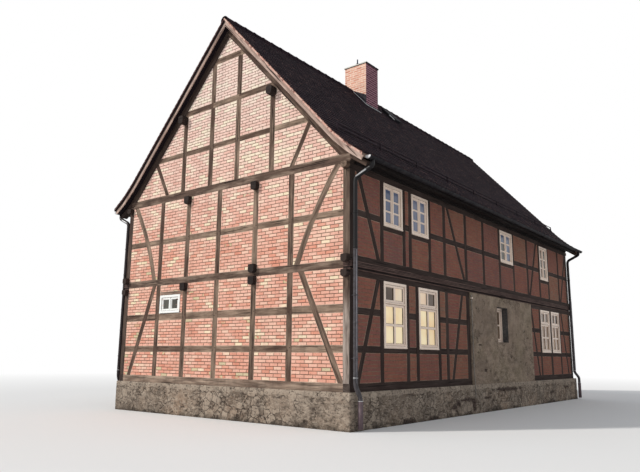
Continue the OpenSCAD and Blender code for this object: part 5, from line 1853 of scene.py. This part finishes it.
stack = Stock()
for name, (outline, drawing, flipped) in chimney_faces().items():
    DRAWINGS[name], FLIPPED[name] = drawing, flipped
    # The front and far sides of the stack lie in shade and get the darker brick as painted shade.
    shaded_face = name in ("stack_front", "stack_far")
    lay_panel(stack, name, outline, proud=-0.0035, bed=0.027, head=0.024, back=0.0, gap=0.004,
              finish=1 if shaded_face else 0)
make_piece("chimney_bricks", stack, [chimney_brick, shaded_brick], closed=False)

# %% Chimney cap with its rod
# The rod stands near the gable-side edge of the cap, where it shows above the cap from the street.
cap = Stock()
CAP_PROUD = 0.025
x0, x1 = STACK_NEAR - CAP_PROUD, STACK_FAR + CAP_PROUD
y0, y1 = STACK_FRONT - CAP_PROUD, STACK_BACK + CAP_PROUD
full_height = cad_box[1][2]
CAP_TOP = full_height - 0.19
rings = []
for inset, z in ((0.012, CAP_TOP - 0.06), (0.0, CAP_TOP - 0.05), (0.0, CAP_TOP - 0.008), (0.01, CAP_TOP)):
    rings.append(cap.corners([(x, y, z) for x, y in box_outline(x0, x1, y0, y1, inset)]))
cap.loft(rings, 4)
rod_x, rod_y = x0 + 0.055, -0.17
sweep_tube(cap, [Vector((rod_x, rod_y, z)) for z in (CAP_TOP - 0.02, full_height)], 0.022, 14)
sweep_tube(cap, [Vector((rod_x, rod_y, z)) for z in (CAP_TOP - 0.02, CAP_TOP + 0.035)], 0.045, 14)
make_piece("chimney_cap_and_rod", cap, [cap_cement], ["chimney_cap"])

# %% Side flashing, its bright folded edge, and a painted highlight along the hatch lid
fold = Stock()
x0, x1, y0 = STACK_NEAR, STACK_FAR, STACK_FRONT
foot_z, apron, hem = RIDGE + SLOPE * y0, 0.088, 0.034
skirt = [(-0.03, RIDGE + 0.02), (y0 - 0.004, foot_z), (y0 - 0.004, foot_z + 0.36)]
fold.loft([fold.corners([(x, y, z) for y, z in skirt]) for x in (x0 - 0.019, x0 - 0.001)], 3)
line = [(x0 - apron, 0.0), (x0 - apron, y0 - apron), (x1 + apron, y0 - apron)]
sweep_tube(fold, [Vector((x, y, RIDGE + SLOPE * y + hem)) for x, y in line], 0.011, 8, finish=1)
# A bright strip along the hatch lid's near edge is a painted highlight.
hatch_x, hatch_y = 7.3 - LENGTH / 2, -0.73
lid = [Vector((hatch_x - 0.028, hatch_y + out - 0.075, RIDGE + SLOPE * (hatch_y + out) + 0.05))
       for out in (-0.09, 0.12)]
sweep_tube(fold, lid, 0.013, 8, finish=1)
make_piece("flashing_edge_and_lid_highlight", fold, [flashing_lead, bright_zinc_and_highlight])

# %% [markdown]
# ## Small things that the street shows
# Pegs hold the joints of the frame, and a thin pipe for a cable runs down the street front beside
# the plastered stretch, with a pale knob near its top. Pegs could be instances of one mesh. As
# rings in one mesh they stay a single piece and share the timbers' finish.

# %% Pegs
PEG_RADIUS, PEG_TONE = 0.011, 0.1


def drive_pegs(stock, wall, spots):
    """Two pegs at each joint, side by side on a slant, with rounded heads."""
    turns = [math.pi * k / 4 for k in range(8)]
    for u, z in spots:
        for du, dz in ((-0.035, 0.03), (0.035, -0.03)):
            rings = []
            for d, r in ((0.004, PEG_RADIUS), (-0.003, PEG_RADIUS), (-0.0045, PEG_RADIUS * 0.6)):
                points = [on_wall(wall, u + du + r * math.cos(t), z + dz + r * math.sin(t), d) for t in turns]
                rings.append(stock.corners(points, [(0, k * 0.01, 3) for k in range(8)]))
            stock.loft(rings, 8, ends=False, tone=PEG_TONE)
            stock.cap(rings[-1], 8, tone=PEG_TONE, end=1.0)


def peg_spots(wall):
    """Where rails meet posts."""
    if wall in ("near", "far"):
        spots = [(u, z) for u in gable_posts for z in (1.71, 2.59, 4.74)]
        return spots + [(u, 7.2) for u in (TRUSS_POST, *truss_middles, WIDTH - TRUSS_POST)]
    spots = [(u + POST / 2, UPPER_RAIL + 0.08) for u in upper_posts]
    for u, wide in jambs_of(ground_windows):
        if wall == "back" or not MASONRY_FROM < u < MASONRY_TO:
            spots += [(u + wide / 2, low + 0.08) for low in (LOW_RAIL, MID_RAIL)]
    return spots


for wall, slot in (("front", "front_timber"), ("back", "front_timber"),
        ("near", "gable_timber"), ("far", "gable_timber")):
    pegs = Stock()
    drive_pegs(pegs, wall, peg_spots(wall))
    make_piece(f"{wall}_pegs", pegs, [old_timber], closed=False)

# %% Cable pipe on the front
cable = Stock()
line = [(6.02, -0.062, 3.36), (6.02, -0.062, 2.9), (6.03, -0.062, 1.2), (6.045, -0.075, 0.86),
        (6.045, -0.078, 0.45)]
sweep_tube(cable, round_path([(u - LENGTH / 2, y - half, z) for u, y, z in line], 0.1), 0.011, 10)
for z in (3.2, 2.6, 2.0, 1.4):
    sweep_tube(cable, [Vector((6.022 - LENGTH / 2, y - half, z)) for y in (-0.066, -0.03)], 0.016, 10)
make_piece("cable_pipe", cable, [pale_conduit], smooth=True)
knob = Stock()
sweep_tube(knob, [Vector((6.02 - LENGTH / 2, y - half, 3.27)) for y in (-0.03, -0.08, -0.095)], 0.026, 14)
make_piece("cable_knob", knob, [window_paint], smooth=True)

# %% [markdown]
# ## Finishes for the CAD pieces that stay
# Panels, floors, roof slabs, mouldings, beams, boards, stack, flashing, hatch, snow guards and
# window frames keep their CAD shape. Their materials could be set by hand. A table does the same
# on each run, and a small bevel rounds the edges that catch the light.

# %% Finishes by node
node_finish = {
    "front_infill": street_mortar, "back_infill": street_mortar,
    "near_gable_infill": gable_mortar, "far_gable_infill": gable_mortar,
    "rendered_wall": wall_plaster,
    "ground_floor": inside_boards, "upper_floor": inside_boards, "attic_floor": inside_boards,
    "front_storey_moulding": moulded_beam, "back_storey_moulding": moulded_beam,
    "front_eaves_cornice": eaves_board, "back_eaves_cornice": eaves_board,
    "storey_girders": beam_end, "attic_girders": beam_end, "roof_purlins": beam_end,
    "roof_front": roof_bed, "roof_back": roof_bed,
    "near_barge_boards": barge_board, "far_barge_boards": barge_board,
    "chimney_stack": chimney_mortar, "chimney_flashing": flashing_lead,
    "roof_hatch": hatch_zinc, "snow_guards": guard_steel,
    "ground_window_frames": window_paint, "upper_window_frames": window_paint,
    "gable_window_frames": window_paint,
}
for name, finish in node_finish.items():
    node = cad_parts[name]
    node.data.materials.clear()
    node.data.materials.append(finish)
print("finished", len(node_finish), "CAD pieces")

# %% Worn edges
edge_width = {
    "storey_girders": 0.006, "attic_girders": 0.006, "roof_purlins": 0.006,
    "near_barge_boards": 0.006, "far_barge_boards": 0.006, "roof_hatch": 0.006,
    "ground_window_frames": 0.003, "upper_window_frames": 0.003, "gable_window_frames": 0.003,
}
for name, width in edge_width.items():
    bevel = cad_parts[name].modifiers.new("worn_edges", "BEVEL")
    bevel.width = width
    bevel.segments = 2
    bevel.limit_method = "ANGLE"
print("rounded the edges of", len(edge_width), "CAD pieces")

# %% [markdown]
# ## Light and floor
# The sun stood on the gable side, so the gable is bright and the street side stays in soft shade.
# An area lamp would fade along so long a house, and a sun lamp doesn't. The world fills the
# shadows. It is plain white for the camera and in reflections only, which adds no light.

# %% Soft sun and pale world
SUN_STRENGTH, FILL_STRENGTH = 2.5, 0.6
sun = bpy.data.objects.new("soft_sun", bpy.data.lights.new("soft_sun", "SUN"))
bpy.context.scene.collection.objects.link(sun)
sun.data.energy = SUN_STRENGTH
sun.data.angle = math.radians(3)
sun.data.color = (1.0, 0.96, 0.9)
sun.rotation_euler = Vector((0.66, -0.53, -0.53)).to_track_quat("-Z", "Y").to_euler()

world = bpy.data.worlds.new("pale_room")
bpy.context.scene.world = world
world.use_nodes = True
world.node_tree.nodes.clear()
w = Bench(world.node_tree)
rays = w.add("ShaderNodeLightPath").outputs
seen = w.calc("MAXIMUM", rays["Is Camera Ray"], rays["Is Glossy Ray"])
seen = w.calc("MAXIMUM", seen, rays["Is Transmission Ray"])
fill = w.add("ShaderNodeBackground", {"Color": (0.93, 0.96, 1.0), "Strength": FILL_STRENGTH})
white = w.add("ShaderNodeBackground", {"Color": (1, 1, 1), "Strength": 1.0})
both = w.add("ShaderNodeMixShader", {0: seen, 1: fill.outputs[0], 2: white.outputs[0]})
w.add("ShaderNodeOutputWorld", {0: both.outputs[0]})
print("sun", SUN_STRENGTH, "and fill", FILL_STRENGTH)

# %% Floor: pale and matt under the house, and white where it meets the background
FLOOR_RADIUS, FLOOR_SIDES = 90, 64
turns = [2 * math.pi * k / FLOOR_SIDES for k in range(FLOOR_SIDES)]
rim = [(FLOOR_RADIUS * math.cos(t), FLOOR_RADIUS * math.sin(t), 0) for t in turns]
floor_mesh = bpy.data.meshes.new("floor")
floor_mesh.from_pydata(rim, [], [list(range(FLOOR_SIDES))])
floor = bpy.data.objects.new("floor", floor_mesh)
bpy.context.scene.collection.objects.link(floor)
material = bpy.data.materials.new("pale_floor")
material.use_nodes = True
material.node_tree.nodes.clear()
m = Bench(material.node_tree)
place = m.add("ShaderNodeTexCoord").outputs["Object"]
away = m.add("ShaderNodeVectorMath", {0: place}, operation="LENGTH").outputs["Value"]
matt = m.add("ShaderNodeBsdfDiffuse", {"Color": (0.8, 0.8, 0.8)})
glow = m.add("ShaderNodeEmission", {"Color": (1, 1, 1), "Strength": 1.0})
both = m.add("ShaderNodeMixShader", {0: m.between(away, 14.0, 40.0), 1: matt.outputs[0], 2: glow.outputs[0]})
m.add("ShaderNodeOutputMaterial", {0: both.outputs[0]})
floor_mesh.materials.append(material)

bpy.context.scene.view_settings.view_transform = "Standard"
print("light and floor are set")
